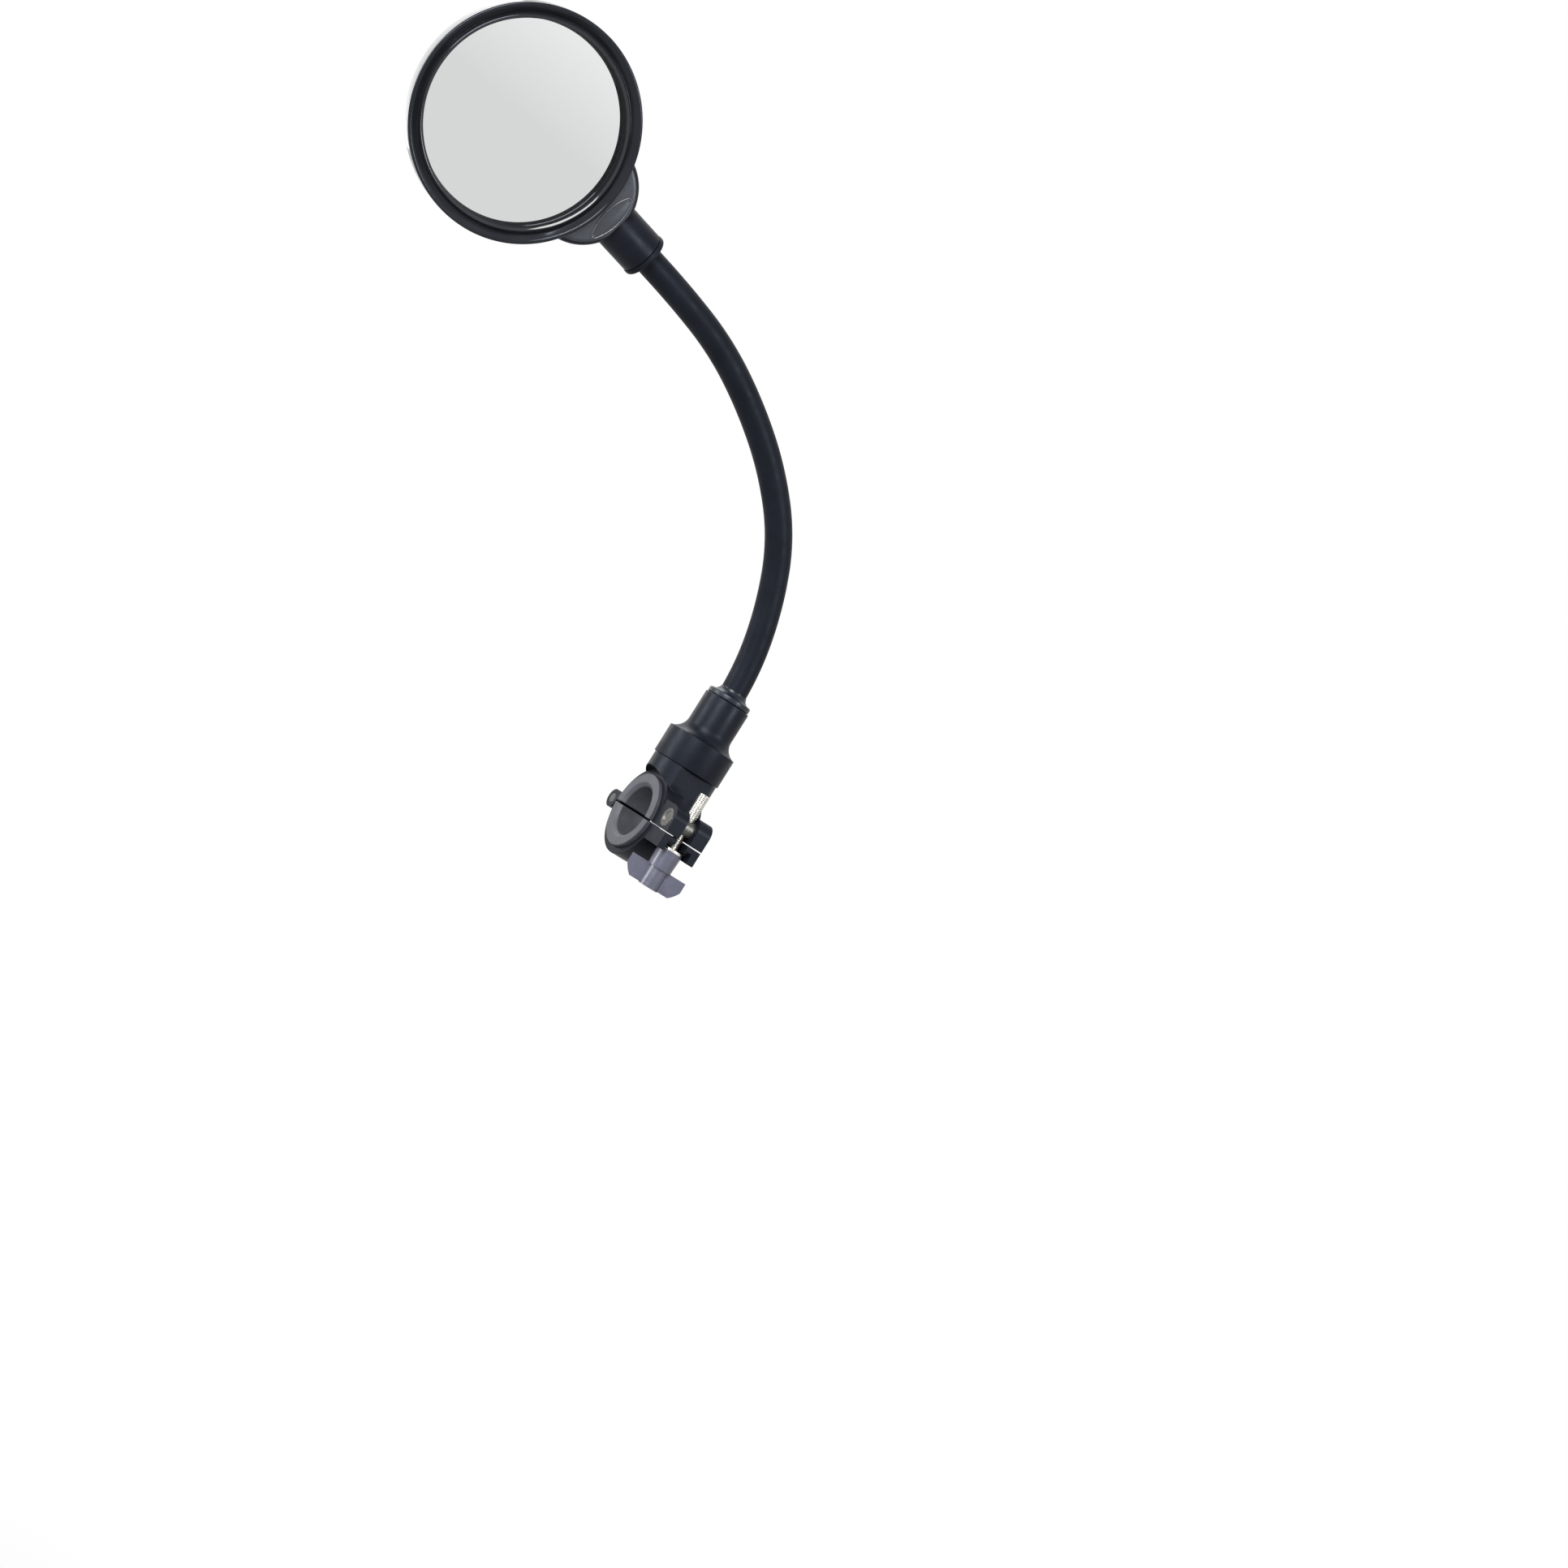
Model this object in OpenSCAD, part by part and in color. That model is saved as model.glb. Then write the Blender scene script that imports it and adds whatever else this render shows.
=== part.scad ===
// Round bike mirror on a gooseneck arm, with a hinged handlebar clamp and a swing bolt.
// Millimetres. The origin is the centre of the handlebar bore. X runs along the bar,
// Z runs up the collar, and the mirror faces the rider on the -Y side.

/* [Handlebar and shims] */
// Handlebar diameter
bar_d = 22.2; // [22:0.1:25.4]
// Radial thickness of a shim
shim_wall = 5.4; // [4:0.1:6]
// Length of the shims along the bar
shim_length = 22.2; // [20:0.1:26]
// Chamfer at the mouths of the shims
shim_chamfer = 1.4; // [0.5:0.1:2]
// Depth of the grooves in the shims' backs
shim_groove = 1.2; // [0.6:0.1:2]

/* [Jaws] */
// Radial thickness of the jaw rings
jaw_wall = 3; // [2.5:0.1:4]
// Width of the jaws along the bar
jaw_width = 18.7; // [17:0.1:20]
// Height of the parting plane between the jaws
split_z = -0.45; // [-0.8:0.05:0]
// Gap between the closed jaws
jaw_gap = 0.5; // [0.4:0.05:1]
// Radius of the post under the collar
post_r = 14.5; // [13.5:0.1:15]
// Height of the post above its foot ring
post_rise = 5.7; // [5:0.1:8]
// Distance of the post's front flat from its axis
post_flat = 12; // [11:0.1:13]

/* [Hinge] */
// Radius of the hinge knuckles
knuckle_r = 4; // [3.5:0.1:4.5]
// Diameter of the hinge pin
hinge_pin_d = 4; // [3:0.1:4.5]
// Width of the middle knuckle
knuckle_width = 6.4; // [5:0.1:8]

/* [Fork and swing bolt] */
// Distance of the swing bolt from the jaws' ring
bolt_set = 6.5; // [6:0.1:8.5]
// Diameter of the swing bolt
bolt_d = 5; // [4:0.1:5.2]
// Height of the bolt's tip over the trunnion axis
bolt_rise = 15.5; // [12:0.1:16]
// Height of the trunnion axis over the bar axis
trunnion_z = 4.9; // [4.6:0.1:6]
// Diameter of the trunnion nut
trunnion_d = 8; // [7.5:0.1:8.4]
// Wall of the ears in front of the trunnion and above it
ear_wall = 2; // [1.5:0.1:3]
// Width of the fork slot
slot_width = 5.7; // [5.6:0.1:6.4]
// Drop from the trunnion axis to the washer's seat
seat_drop = 9.7; // [9:0.1:11]
// Depth of the rails beside the seat
rail_depth = 2.3; // [1.5:0.1:3]
// Diameter of the clamp washer
washer_d = 10.8; // [9.5:0.1:11.4]
// Thickness of the clamp washer
washer_t = 1.3; // [0.8:0.1:1.6]

/* [Wing knob] */
// Diameter of the knob's hub
hub_d = 10.9; // [9.5:0.1:11.4]
// Height of the knob's hub
hub_h = 8.3; // [7.5:0.1:10]
// Height of the wing
wing_h = 8.3; // [7:0.1:12]
// Span of the wing
wing_span = 24.6; // [20:0.1:25]
// Thickness of the wing
wing_t = 3.2; // [2.4:0.1:4]
// Height of the wing's straight ends
wing_end = 4; // [3:0.1:5]
// Width of the wing's flat foot
wing_foot = 17.8; // [14:0.1:18.6]
// Lap of the wing over the hub's foot, and of the core below the wing
wing_lap = 0.3; // [0.2:0.1:0.6]
// Turn of the wing about the bolt
wing_turn = -24; // [-90:1:90]

/* [Collar] */
// Radius of the collar's drum
drum_r = 15.1; // [14.6:0.1:17]
// Height of the collar's drum
drum_h = 12.6; // [11:0.1:16]
// Radius of the collar's neck
neck_r = 10.05; // [9.8:0.05:11]
// Radius of the hollow flare between drum and neck
flare_r = 6.2; // [5:0.1:7]
// Height of the whole collar
collar_h = 32; // [31:0.1:36]
// Radius of the spigot that the collar turns on
spigot_r = 7; // [6.5:0.1:7.2]
// Height of the spigot
spigot_h = 9.8; // [8:0.1:10.5]
// Wall of the collar's neck
collar_wall = 1.85; // [1.6:0.05:2.2]
// Diameter of the swivel screw
swivel_screw_d = 5; // [4:0.1:5.2]

/* [Gooseneck arm] */
// Outside diameter of the rubber sleeve
sleeve_d = 11.3; // [10.8:0.1:12]
// Wall of the rubber sleeve
sleeve_wall = 1.8; // [1.4:0.1:2]
// Clear radius between sleeve and steel core
core_gap = 0.3; // [0.3:0.05:0.6]
// Bore of the steel core
core_bore = 3.2; // [2:0.1:4]
// Length of one core link along the arm
link_pitch = 28; // [24:0.1:32]
// Gap between two links
link_gap = 1.2; // [1.1:0.1:2]
// Bend of the first link at rest
turn_1 = 14.2; // [2:0.1:25]
// Bend of the second link at rest
turn_2 = 11.3; // [2:0.1:25]
// Bend of the third link at rest
turn_3 = 18.4; // [2:0.1:25]
// Bend of the fourth link at rest
turn_4 = 11.5; // [2:0.1:25]
// Bend of the fifth link at rest
turn_5 = 8.2; // [2:0.1:25]
// Bend of the sixth link at rest
turn_6 = 11.9; // [2:0.1:25]
// Bend of the seventh link at rest
turn_7 = 4; // [2:0.1:25]
// Length of the lower cap's plug in the collar
plug_length = 6.5; // [5:0.1:8]
// Depth of the core in the lower ferrule
core_depth = 6; // [5:0.1:8]
// Distance of the upper cap from the last link
lip_reach = 6; // [4:0.1:8]
// Depth of the core in the upper ferrule
crimp_depth = 11; // [9:0.1:12]
// Thickness of the upper ferrule's end
crimp_end = 7.4; // [6:0.1:8]
// Depth of the sleeve in the upper ferrule
sleeve_depth = 4; // [3:0.1:6]
// Radius of the caps' flanges
cap_r = 9.55; // [9.2:0.05:9.8]
// Thickness of the caps' flanges
cap_t = 2.3; // [1.8:0.1:3]

/* [Head] */
// Turn of the head about the neck at rest
head_turn = -10.4; // [-40:0.1:40]
// Radius of the mirror glass
glass_r = 40.6; // [39.6:0.1:40.7]
// Width of the rim outside the glass
rim_width = 4.1; // [3.6:0.1:4.4]
// Radius of curvature of the convex glass
glass_curve = 400; // [350:10:1200]
// Thickness of the glass
glass_t = 2; // [1.6:0.1:2.2]
// Thickness of the foam pad
pad_t = 1.2; // [0.8:0.1:1.5]
// Height of the glass's edge over the neck axis
glass_z = 6.8; // [6.4:0.1:7]
// Height of the seam between shell and bezel over the neck axis
seam_z = 9.4; // [9:0.1:10]
// Depth of the dish behind the neck axis
dish_depth = 10; // [8:0.1:11]
// Radius of curvature of the dish's back
dish_curve = 120; // [100:1:200]
// Rounding between the dish's wall and back
dish_corner = 9; // [7:0.1:10]
// Wall of the shell
shell_wall = 2; // [1.6:0.1:2.4]
// Rounding of the rim's outer edge
band_r = 0.8; // [0.6:0.05:1]
// Height of the rim's widest line over the seam
rim_rise = 2.4; // [2:0.1:2.8]
// Radius of the rim's inner bead
bead_r = 0.8; // [0.6:0.05:1]
// Depth of the bead's centre below the rim's widest line
bead_drop = 1.2; // [0.8:0.1:1.6]
// How far the rim laps over the glass
glass_lap = 1.9; // [1.6:0.1:2.2]
// Distance of the groove outside the bead's centre
groove_set = 1.2; // [1.1:0.05:1.4]
// Depth of the groove below the bead's centre
groove_depth = 1; // [0.8:0.05:1.2]
// Radius of the shoulder under the rim
shoulder_r = 21.2; // [20:0.1:22]
// How far the shoulder's centre lies inside the rim
shoulder_inset = 10.1; // [9:0.1:11]
// Length of the shoulder outside the rim
shoulder_reach = 8.7; // [8.4:0.1:9.4]
// Rounding of the shoulder's edges
shoulder_round = 3; // [2:0.1:4]
// Radius of the neck socket
socket_r = 9.3; // [9.2:0.05:9.6]
// Length of the neck socket
socket_length = 24.4; // [23:0.1:26]
// Depth of the neck socket in the shoulder
socket_depth = 6.7; // [6:0.1:7.5]
// Half length of the oval cap
oval_a = 10.6; // [9:0.1:10.6]
// Width of the land between the rim and the oval cap
oval_land = 1; // [0.5:0.1:1.5]
// Width of the land between the oval cap and the shoulder's end
oval_edge = 0.5; // [0.4:0.1:1]
// Radius of the oval's ends
oval_end = 1.6; // [1.3:0.1:1.8]
// Height of the oval's bead over the shoulder
oval_bead = 0.5; // [0.3:0.05:0.8]
// Diameter of the neck screw
neck_screw_d = 4; // [3:0.1:4.5]

/* [Clearances] */
// Radial clearance of parts that turn on each other
run_gap = 0.05; // [0.02:0.01:0.1]
// Clearance between parts that are fixed to each other
fit_gap = 0.05; // [0.02:0.01:0.1]
// Clearance between parts that pass without touching
free_gap = 0.3; // [0.3:0.05:0.6]
// Width of the visible seams
seam_gap = 0.15; // [0.1:0.05:0.3]
// Step of the short rings that join two stretches of tube
join_step = 0.02; // [0.01:0.01:0.02]

/* [Hidden] */
$fn = 96;
BLACK = [0.09, 0.09, 0.1];
RUBBER = [0.13, 0.13, 0.14];
GREY = [0.55, 0.54, 0.58];
STEEL = [0.75, 0.75, 0.74];
SILVER = [0.85, 0.87, 0.87];
FOAM = [0.3, 0.3, 0.3];

bar_r = bar_d / 2;
jaw_bore = bar_r + shim_wall;
jaw_r = jaw_bore + jaw_wall;
half_w = jaw_width / 2;
split_hi = split_z + jaw_gap / 2;
split_lo = split_z - jaw_gap / 2;
hinge_y = jaw_r + knuckle_r + jaw_gap;
post_top = jaw_r + post_rise;
flat_z = sqrt(jaw_r * jaw_r - post_flat * post_flat);

trunnion_r = trunnion_d / 2;
bolt_y = jaw_r + bolt_set;
ear_front = bolt_y + trunnion_r + ear_wall;
ear_top = trunnion_z + trunnion_r + ear_wall;
ear_round = trunnion_r + ear_wall - 1;
ear_root = jaw_bore + jaw_wall / 2;
seat_z = trunnion_z - seat_drop;
rail_z = seat_z - rail_depth;
rail_x = washer_d / 2 + free_gap + 0.2;
washer_top = seat_z - run_gap;
hub_top = washer_top - washer_t;
wing_top = hub_top - hub_h;
bolt_foot = wing_top - wing_h / 2;
// One arc trims both lower corners of the wing; its centre lies this far above the wing's top.
wing_rise = (wing_span ^ 2 / 4 - wing_foot ^ 2 / 4 - wing_h ^ 2 + wing_end ^ 2) / (2 * (wing_h - wing_end));
wing_arc = sqrt(wing_span ^ 2 / 4 + (wing_rise + wing_end) ^ 2);

collar_z = post_top + seam_gap;
collar_top = collar_z + collar_h;
drum_top = collar_z + drum_h;
collar_bore = neck_r - collar_wall;
ledge_z = post_top + spigot_h + 1;
screw_r = swivel_screw_d / 2;
screw_head_r = swivel_screw_d * 0.86;
screw_head_h = swivel_screw_d * 0.62;
screw_seat = jaw_bore + 1.6 + screw_head_h;

sleeve_r = sleeve_d / 2;
sleeve_bore = sleeve_r - sleeve_wall;
core_r = sleeve_bore - core_gap;
cap_z = collar_top + 0.25;
arm_z = cap_z + 0.45;
ferrule_top = cap_z - plug_length;
ferrule_z = ledge_z + fit_gap;
core_foot = ferrule_top - core_depth;
TURNS = [turn_1, turn_2, turn_3, turn_4, turn_5, turn_6, turn_7];
LINKS = len(TURNS);

// Heading of the arm at the start of link i, and the point where that link starts.
function heading(i) = i == 0 ? 0 : heading(i - 1) + TURNS[i - 1];
function link_radius(i) = link_pitch * 180 / (PI * TURNS[i]);
function chord(i) = 2 * link_radius(i) * sin(TURNS[i] / 2);
function joint_at(i) = i == 0 ? [0, 0, arm_z] : joint_at(i - 1) + chord(i - 1) * along(i - 1);
function along(i) = [-sin(heading(i) + TURNS[i] / 2), 0, cos(heading(i) + TURNS[i] / 2)];

// Stations along the neck, counted from the arm's end.
lip_w = lip_reach;
socket_w = lip_w + cap_t + seam_gap + 0.05;
cup_w = socket_w + fit_gap;
core_end = cup_w + crimp_depth;
cup_end = core_end + crimp_end;
socket_floor = cup_end + free_gap;
socket_end = socket_w + socket_length;
neck_screw_r = neck_screw_d / 2;
neck_head_r = neck_screw_d * 0.85;
neck_washer_t = 0.6;
socket_wall_end = socket_floor + 2.4;
cup_r = socket_r - 0.9 - run_gap;

head_r = glass_r + rim_width;
shoulder_y = head_r - shoulder_inset;
shoulder_end = head_r + shoulder_reach;
head_reach = socket_end - socket_depth + shoulder_end;
dish_r = head_r - 0.2;
dish_cz = dish_curve - dish_depth;
corner_x = dish_r - dish_corner;
corner_z = dish_cz - sqrt(pow(dish_curve - dish_corner, 2) - pow(corner_x, 2));
band_z = seam_z + rim_rise;
band_x = head_r - band_r;
bead_x = glass_r - glass_lap + bead_r;
bead_z = band_z - bead_drop;
skirt_r = dish_r - shell_wall - fit_gap;
skirt_z = corner_z;
glass_centre = glass_z - sqrt(glass_curve * glass_curve - glass_r * glass_r);
lip_r = bead_x - bead_r;
lip_z = glass_centre + sqrt(glass_curve * glass_curve - lip_r * lip_r) + fit_gap;
shoulder_top = socket_r + 1.2;
oval_b = (shoulder_reach - oval_land - oval_edge) / 2;
oval_y = head_r + oval_land + oval_b;
oval_curve = (oval_a * oval_a + oval_b * oval_b - 2 * oval_a * oval_end) / (2 * (oval_b - oval_end));

// A cylinder along the bar, centred on the YZ plane.
module bar_cylinder(r, length) {
  rotate([0, 90, 0]) cylinder(r = r, h = length, center = true);
}

// A plain round of radius r between two heights.
module round_between(r, z0, z1) {
  translate([0, 0, z0]) cylinder(r = r, h = z1 - z0);
}

// Everything above or below the parting plane.
module above(z) {
  translate([-200, -200, z]) cube(400);
}

module below(z) {
  translate([-200, -200, z - 400]) cube(400);
}

module at_bolt() {
  translate([0, -bolt_y, 0]) children();
}

module at_trunnion() {
  translate([0, -bolt_y, trunnion_z]) children();
}

module at_hinge() {
  translate([0, hinge_y, split_z]) children();
}

// The neck frame: origin at the arm's end, Z along the neck.
module at_neck() {
  translate(joint_at(LINKS)) rotate([0, -heading(LINKS), 0]) children();
}

// The face frame: origin at the head's centre, Y away from the arm, Z out of the mirror.
module at_face() {
  at_neck() rotate([0, 0, head_turn]) translate([0, 0, head_reach]) rotate([90, 0, 0]) children();
}

// The open channel between the two ears of a fork, as far back as the ring.
module fork_slot() {
  difference() {
    translate([-slot_width / 2, -ear_front - 1, -jaw_r]) cube([slot_width, ear_front - bar_r, 2 * jaw_r]);
    bar_cylinder(jaw_r, jaw_width);
  }
}

// A hinge knuckle with its web to the ring, between x0 and x1; side is +1 for the upper jaw.
module knuckle(x0, x1, side) {
  web_y = ear_root - 1;
  translate([x0, 0, 0]) {
    at_hinge() rotate([0, 90, 0]) cylinder(r = knuckle_r, h = x1 - x0);
    translate([0, web_y, side > 0 ? split_hi : split_z - knuckle_r])
      cube([x1 - x0, hinge_y - web_y, knuckle_r - jaw_gap / 2]);
  }
}

module upper_jaw() {
  knuckle_x = knuckle_width / 2 + free_gap;
  color(BLACK) difference() {
    union() {
      intersection() {
        bar_cylinder(jaw_r, jaw_width);
        above(split_hi);
      }
      difference() {
        cylinder(r = post_r, h = post_top);
        bar_cylinder(jaw_r, 3 * post_r);
        translate([-post_r, -post_flat - post_r, flat_z]) cube([2 * post_r, post_r, post_top]);
      }
      round_between(spigot_r, post_top - 1, post_top + spigot_h);
      upper_ears();
      for (x = [knuckle_x, -half_w]) knuckle(x, x + half_w - knuckle_x, 1);
    }
    bar_cylinder(jaw_bore, jaw_width + 1);
    at_trunnion() bar_cylinder(trunnion_r + run_gap, jaw_width + 1);
    at_hinge() bar_cylinder(hinge_pin_d / 2 + fit_gap, jaw_width + 1);
    round_between(screw_head_r + free_gap, 0, screw_seat + run_gap);
    round_between(screw_r + free_gap, 0, post_top + spigot_h + 1);
  }
}

module upper_ears() {
  difference() {
    union() {
      translate([-half_w, ear_round - ear_front, split_hi])
        cube([jaw_width, ear_front - ear_round - ear_root, ear_top - split_hi]);
      translate([-half_w, -ear_front, split_hi])
        cube([jaw_width, ear_round + 1, ear_top - ear_round - split_hi]);
      translate([0, ear_round - ear_front, ear_top - ear_round]) bar_cylinder(ear_round, jaw_width);
    }
    fork_slot();
  }
}

module lower_jaw() {
  color(BLACK) difference() {
    union() {
      intersection() {
        bar_cylinder(jaw_r, jaw_width);
        below(split_lo);
      }
      lower_ears();
      knuckle(-knuckle_width / 2, knuckle_width / 2, -1);
    }
    bar_cylinder(jaw_bore, jaw_width + 1);
    at_hinge() bar_cylinder(hinge_pin_d / 2 + run_gap, jaw_width + 1);
  }
}

// The seat between the rails is round about the trunnion, so the washer swings out along it.
module lower_ears() {
  length = ear_front - ear_root;
  difference() {
    union() {
      for (x = [-half_w, rail_x])
        translate([x, -ear_front, rail_z]) cube([half_w - rail_x, length, split_lo - rail_z]);
      intersection() {
        translate([-rail_x - 1, -ear_front, 2 * seat_z])
          cube([2 * rail_x + 2, length, split_lo - 2 * seat_z]);
        at_trunnion() bar_cylinder(seat_drop, jaw_width);
      }
    }
    fork_slot();
  }
}

// A half ring round the bar, with chamfered mouths and two grooves in its back.
module shim_ring() {
  rotate([0, 90, 0]) difference() {
    cylinder(r = jaw_bore - fit_gap, h = shim_length, center = true);
    cylinder(r = bar_r, h = shim_length + 1, center = true);
    for (s = [0, 180]) rotate([s, 0, 0]) translate([0, 0, shim_length / 2 - shim_chamfer])
      cylinder(r1 = bar_r, r2 = bar_r + shim_chamfer + 0.1, h = shim_chamfer + 0.1);
    for (z = [-shim_length / 5, shim_length / 5]) translate([0, 0, z]) difference() {
      cylinder(r = jaw_bore + 1, h = 2, center = true);
      cylinder(r = jaw_bore - shim_groove, h = 3, center = true);
    }
  }
}

module upper_shim() {
  color(GREY) intersection() {
    shim_ring();
    above(-split_z / 2);
  }
}

module lower_shim() {
  color(GREY) intersection() {
    shim_ring();
    below(split_lo);
  }
}

module hinge_pin() {
  color(STEEL) at_hinge() bar_cylinder(hinge_pin_d / 2, jaw_width);
}

module trunnion_nut() {
  color(STEEL) at_trunnion() difference() {
    bar_cylinder(trunnion_r, jaw_width);
    cylinder(r = bolt_d / 2 + run_gap, h = trunnion_d + 1, center = true);
    for (x = [-half_w, half_w]) translate([x, 0, 0]) bar_cylinder(trunnion_r - 1.1, 0.8);
  }
}

module swing_bolt() {
  tip = trunnion_z + bolt_rise;
  color(STEEL) at_bolt() {
    round_between(bolt_d / 2, bolt_foot, tip - 0.5);
    translate([0, 0, tip - 0.5]) cylinder(r1 = bolt_d / 2, r2 = bolt_d / 2 - 0.5, h = 0.5);
  }
}

module clamp_washer() {
  color(STEEL) at_bolt() difference() {
    round_between(washer_d / 2, washer_top - washer_t, washer_top);
    round_between(bolt_d / 2 + run_gap, washer_top - washer_t - 1, washer_top + 1);
  }
}

module wing_knob() {
  color(GREY) at_bolt() difference() {
    union() {
      translate([0, 0, wing_top]) cylinder(d1 = hub_d - 0.6, d2 = hub_d, h = hub_h - run_gap);
      round_between(hub_d / 2 - 1.1, wing_top - wing_h - wing_lap, wing_top + 1);
      rotate([0, 0, wing_turn]) intersection() {
        translate([-wing_span / 2, -wing_t / 2, wing_top - wing_h])
          cube([wing_span, wing_t, wing_h + wing_lap]);
        translate([0, 0, wing_top + wing_rise]) rotate([90, 0, 0])
          cylinder(r = wing_arc, h = 2 * wing_t, center = true);
      }
    }
    round_between(bolt_d / 2 + fit_gap, bolt_foot - fit_gap, 0);
  }
}

module swivel_screw() {
  color(STEEL) {
    difference() {
      round_between(screw_head_r, screw_seat - screw_head_h, screw_seat);
      round_between(screw_r * 0.5, 0, screw_seat - screw_head_h / 2);
    }
    round_between(screw_r, screw_seat - 0.5, core_foot - 1.5);
  }
}

module swivel_washer() {
  color(STEEL) difference() {
    round_between(spigot_r - 0.5, post_top + spigot_h + run_gap, ledge_z);
    round_between(screw_r + free_gap, 0, ledge_z + 1);
  }
}

// Drum, hollow flare and neck in one revolve, cored from below round the spigot's bore.
module collar() {
  core_out = drum_r - 2.2;
  core_in = spigot_r + 2.2;
  color(BLACK) rotate_extrude() difference() {
    union() {
      translate([0, collar_z]) square([neck_r, collar_h]);
      translate([0, collar_z]) square([drum_r, drum_h]);
      difference() {
        translate([0, drum_top - 0.1]) square([drum_r, flare_r + 0.1]);
        translate([neck_r + flare_r, drum_top + flare_r]) circle(flare_r);
      }
    }
    translate([0, collar_z - 1]) square([spigot_r + run_gap, collar_h + 2]);
    translate([0, ledge_z]) square([collar_bore, collar_h]);
    translate([core_in, collar_z - 1]) square([core_out - core_in, drum_h - 1.5]);
  }
}

module lower_ferrule() {
  color(STEEL) difference() {
    round_between(collar_bore - fit_gap, ferrule_z, ferrule_top);
    round_between(screw_r + fit_gap, 0, core_foot);
    round_between(core_r + fit_gap, core_foot - fit_gap, ferrule_top + 1);
  }
}

// Rubber plug in the collar's neck, with a bevelled flange and a hollow flare up the arm.
module lower_arm_cap() {
  flare = 4;
  color(RUBBER) rotate_extrude() difference() {
    union() {
      translate([0, ferrule_top + fit_gap]) square([collar_bore - fit_gap, 7]);
      translate([0, cap_z]) square([cap_r, cap_t - 0.5]);
      polygon([[0, cap_z], [cap_r, cap_z + cap_t - 0.5], [cap_r - 0.5, cap_z + cap_t], [0, cap_z + cap_t]]);
      difference() {
        translate([0, cap_z + cap_t - 0.1]) square([sleeve_r + 2, flare]);
        translate([sleeve_r + 0.35 + flare, cap_z + cap_t + flare]) circle(flare);
      }
    }
    square([sleeve_r + fit_gap, 2 * collar_top]);
  }
}

// One stretch of tube along link i, from share f0 to share f1 of its length.
module link_tube(i, f0, f1, r, bore) {
  bend = link_radius(i);
  translate(joint_at(i)) rotate([0, -heading(i), 0]) translate([-bend, 0, 0]) rotate([90, 0, 0])
    rotate([0, 0, TURNS[i] * f0]) rotate_extrude(angle = TURNS[i] * (f1 - f0)) translate([bend, 0])
      difference() {
        circle(r);
        circle(bore);
      }
}

// A straight tube that laps over the ends of curved ones, a hair thicker than they are.
module straight_tube(z0, z1, r, bore) {
  difference() {
    round_between(r + join_step, z0, z1);
    round_between(bore - join_step, z0 - 1, z1 + 1);
  }
}

module arm_sleeve() {
  lap = 0.5;
  cut = 0.1 / link_pitch;
  color(RUBBER) union() {
    straight_tube(ferrule_top + fit_gap, arm_z + lap, sleeve_r, sleeve_bore);
    for (i = [0:LINKS - 1]) link_tube(i, cut, 1 - cut, sleeve_r, sleeve_bore);
    for (i = [1:LINKS - 1]) translate(joint_at(i)) rotate([0, -heading(i), 0])
      straight_tube(-lap, lap, sleeve_r, sleeve_bore);
    at_neck() straight_tube(-lap, cup_w + sleeve_depth, sleeve_r, sleeve_bore);
  }
}

// Core link i, counted from 0: the end links run on into the ferrules.
module core_link(i) {
  lap = 0.5;
  cut = link_gap / 2 / link_pitch;
  end = 0.1 / link_pitch;
  color(STEEL) union() {
    if (i == 0) straight_tube(core_foot, arm_z + lap, core_r, core_bore / 2);
    link_tube(i, i == 0 ? end : cut, i == LINKS - 1 ? 1 - end : 1 - cut, core_r, core_bore / 2);
    if (i == LINKS - 1) at_neck() straight_tube(-lap, core_end, core_r, core_bore / 2);
  }
}

module link_1() {
  core_link(0);
}

module link_2() {
  core_link(1);
}

module link_3() {
  core_link(2);
}

module link_4() {
  core_link(3);
}

module link_5() {
  core_link(4);
}

module link_6() {
  core_link(5);
}

module link_7() {
  core_link(6);
}

module upper_ferrule() {
  color(STEEL) at_neck() difference() {
    round_between(cup_r, cup_w, cup_end);
    round_between(sleeve_r + fit_gap, cup_w - 1, cup_w + sleeve_depth + fit_gap);
    round_between(core_r + fit_gap, cup_w, core_end + fit_gap);
    round_between(neck_screw_r + fit_gap, core_end, cup_end + 1);
  }
}

module upper_arm_cap() {
  lip = 1.2;
  color(RUBBER) at_neck() rotate_extrude() difference() {
    union() {
      translate([0, lip_w]) square([cap_r - lip, cap_t]);
      translate([0, lip_w + lip]) square([cap_r, cap_t - lip]);
      translate([cap_r - lip, lip_w + lip]) circle(lip);
    }
    square([sleeve_r + fit_gap, socket_end]);
  }
}

module neck_socket() {
  color(BLACK) at_neck() difference() {
    round_between(socket_r, socket_w, socket_end);
    round_between(cup_r + run_gap, socket_w - 1, socket_floor);
    round_between(neck_screw_r + free_gap, socket_w, socket_end + 1);
    round_between(socket_r - 2, socket_wall_end, socket_end + 1);
  }
}

module neck_screw() {
  seat = socket_wall_end + neck_washer_t + run_gap;
  color(STEEL) at_neck() {
    round_between(neck_screw_r, core_end + 1, seat + 0.5);
    difference() {
      round_between(neck_head_r, seat, seat + neck_screw_d * 0.6);
      round_between(neck_screw_r * 0.5, seat + neck_screw_d * 0.3, seat + neck_screw_d);
    }
  }
}

module neck_washer() {
  color(STEEL) at_neck() difference() {
    round_between(socket_r - 3, socket_wall_end, socket_wall_end + neck_washer_t);
    round_between(neck_screw_r + free_gap, socket_w, socket_end);
  }
}

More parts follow.
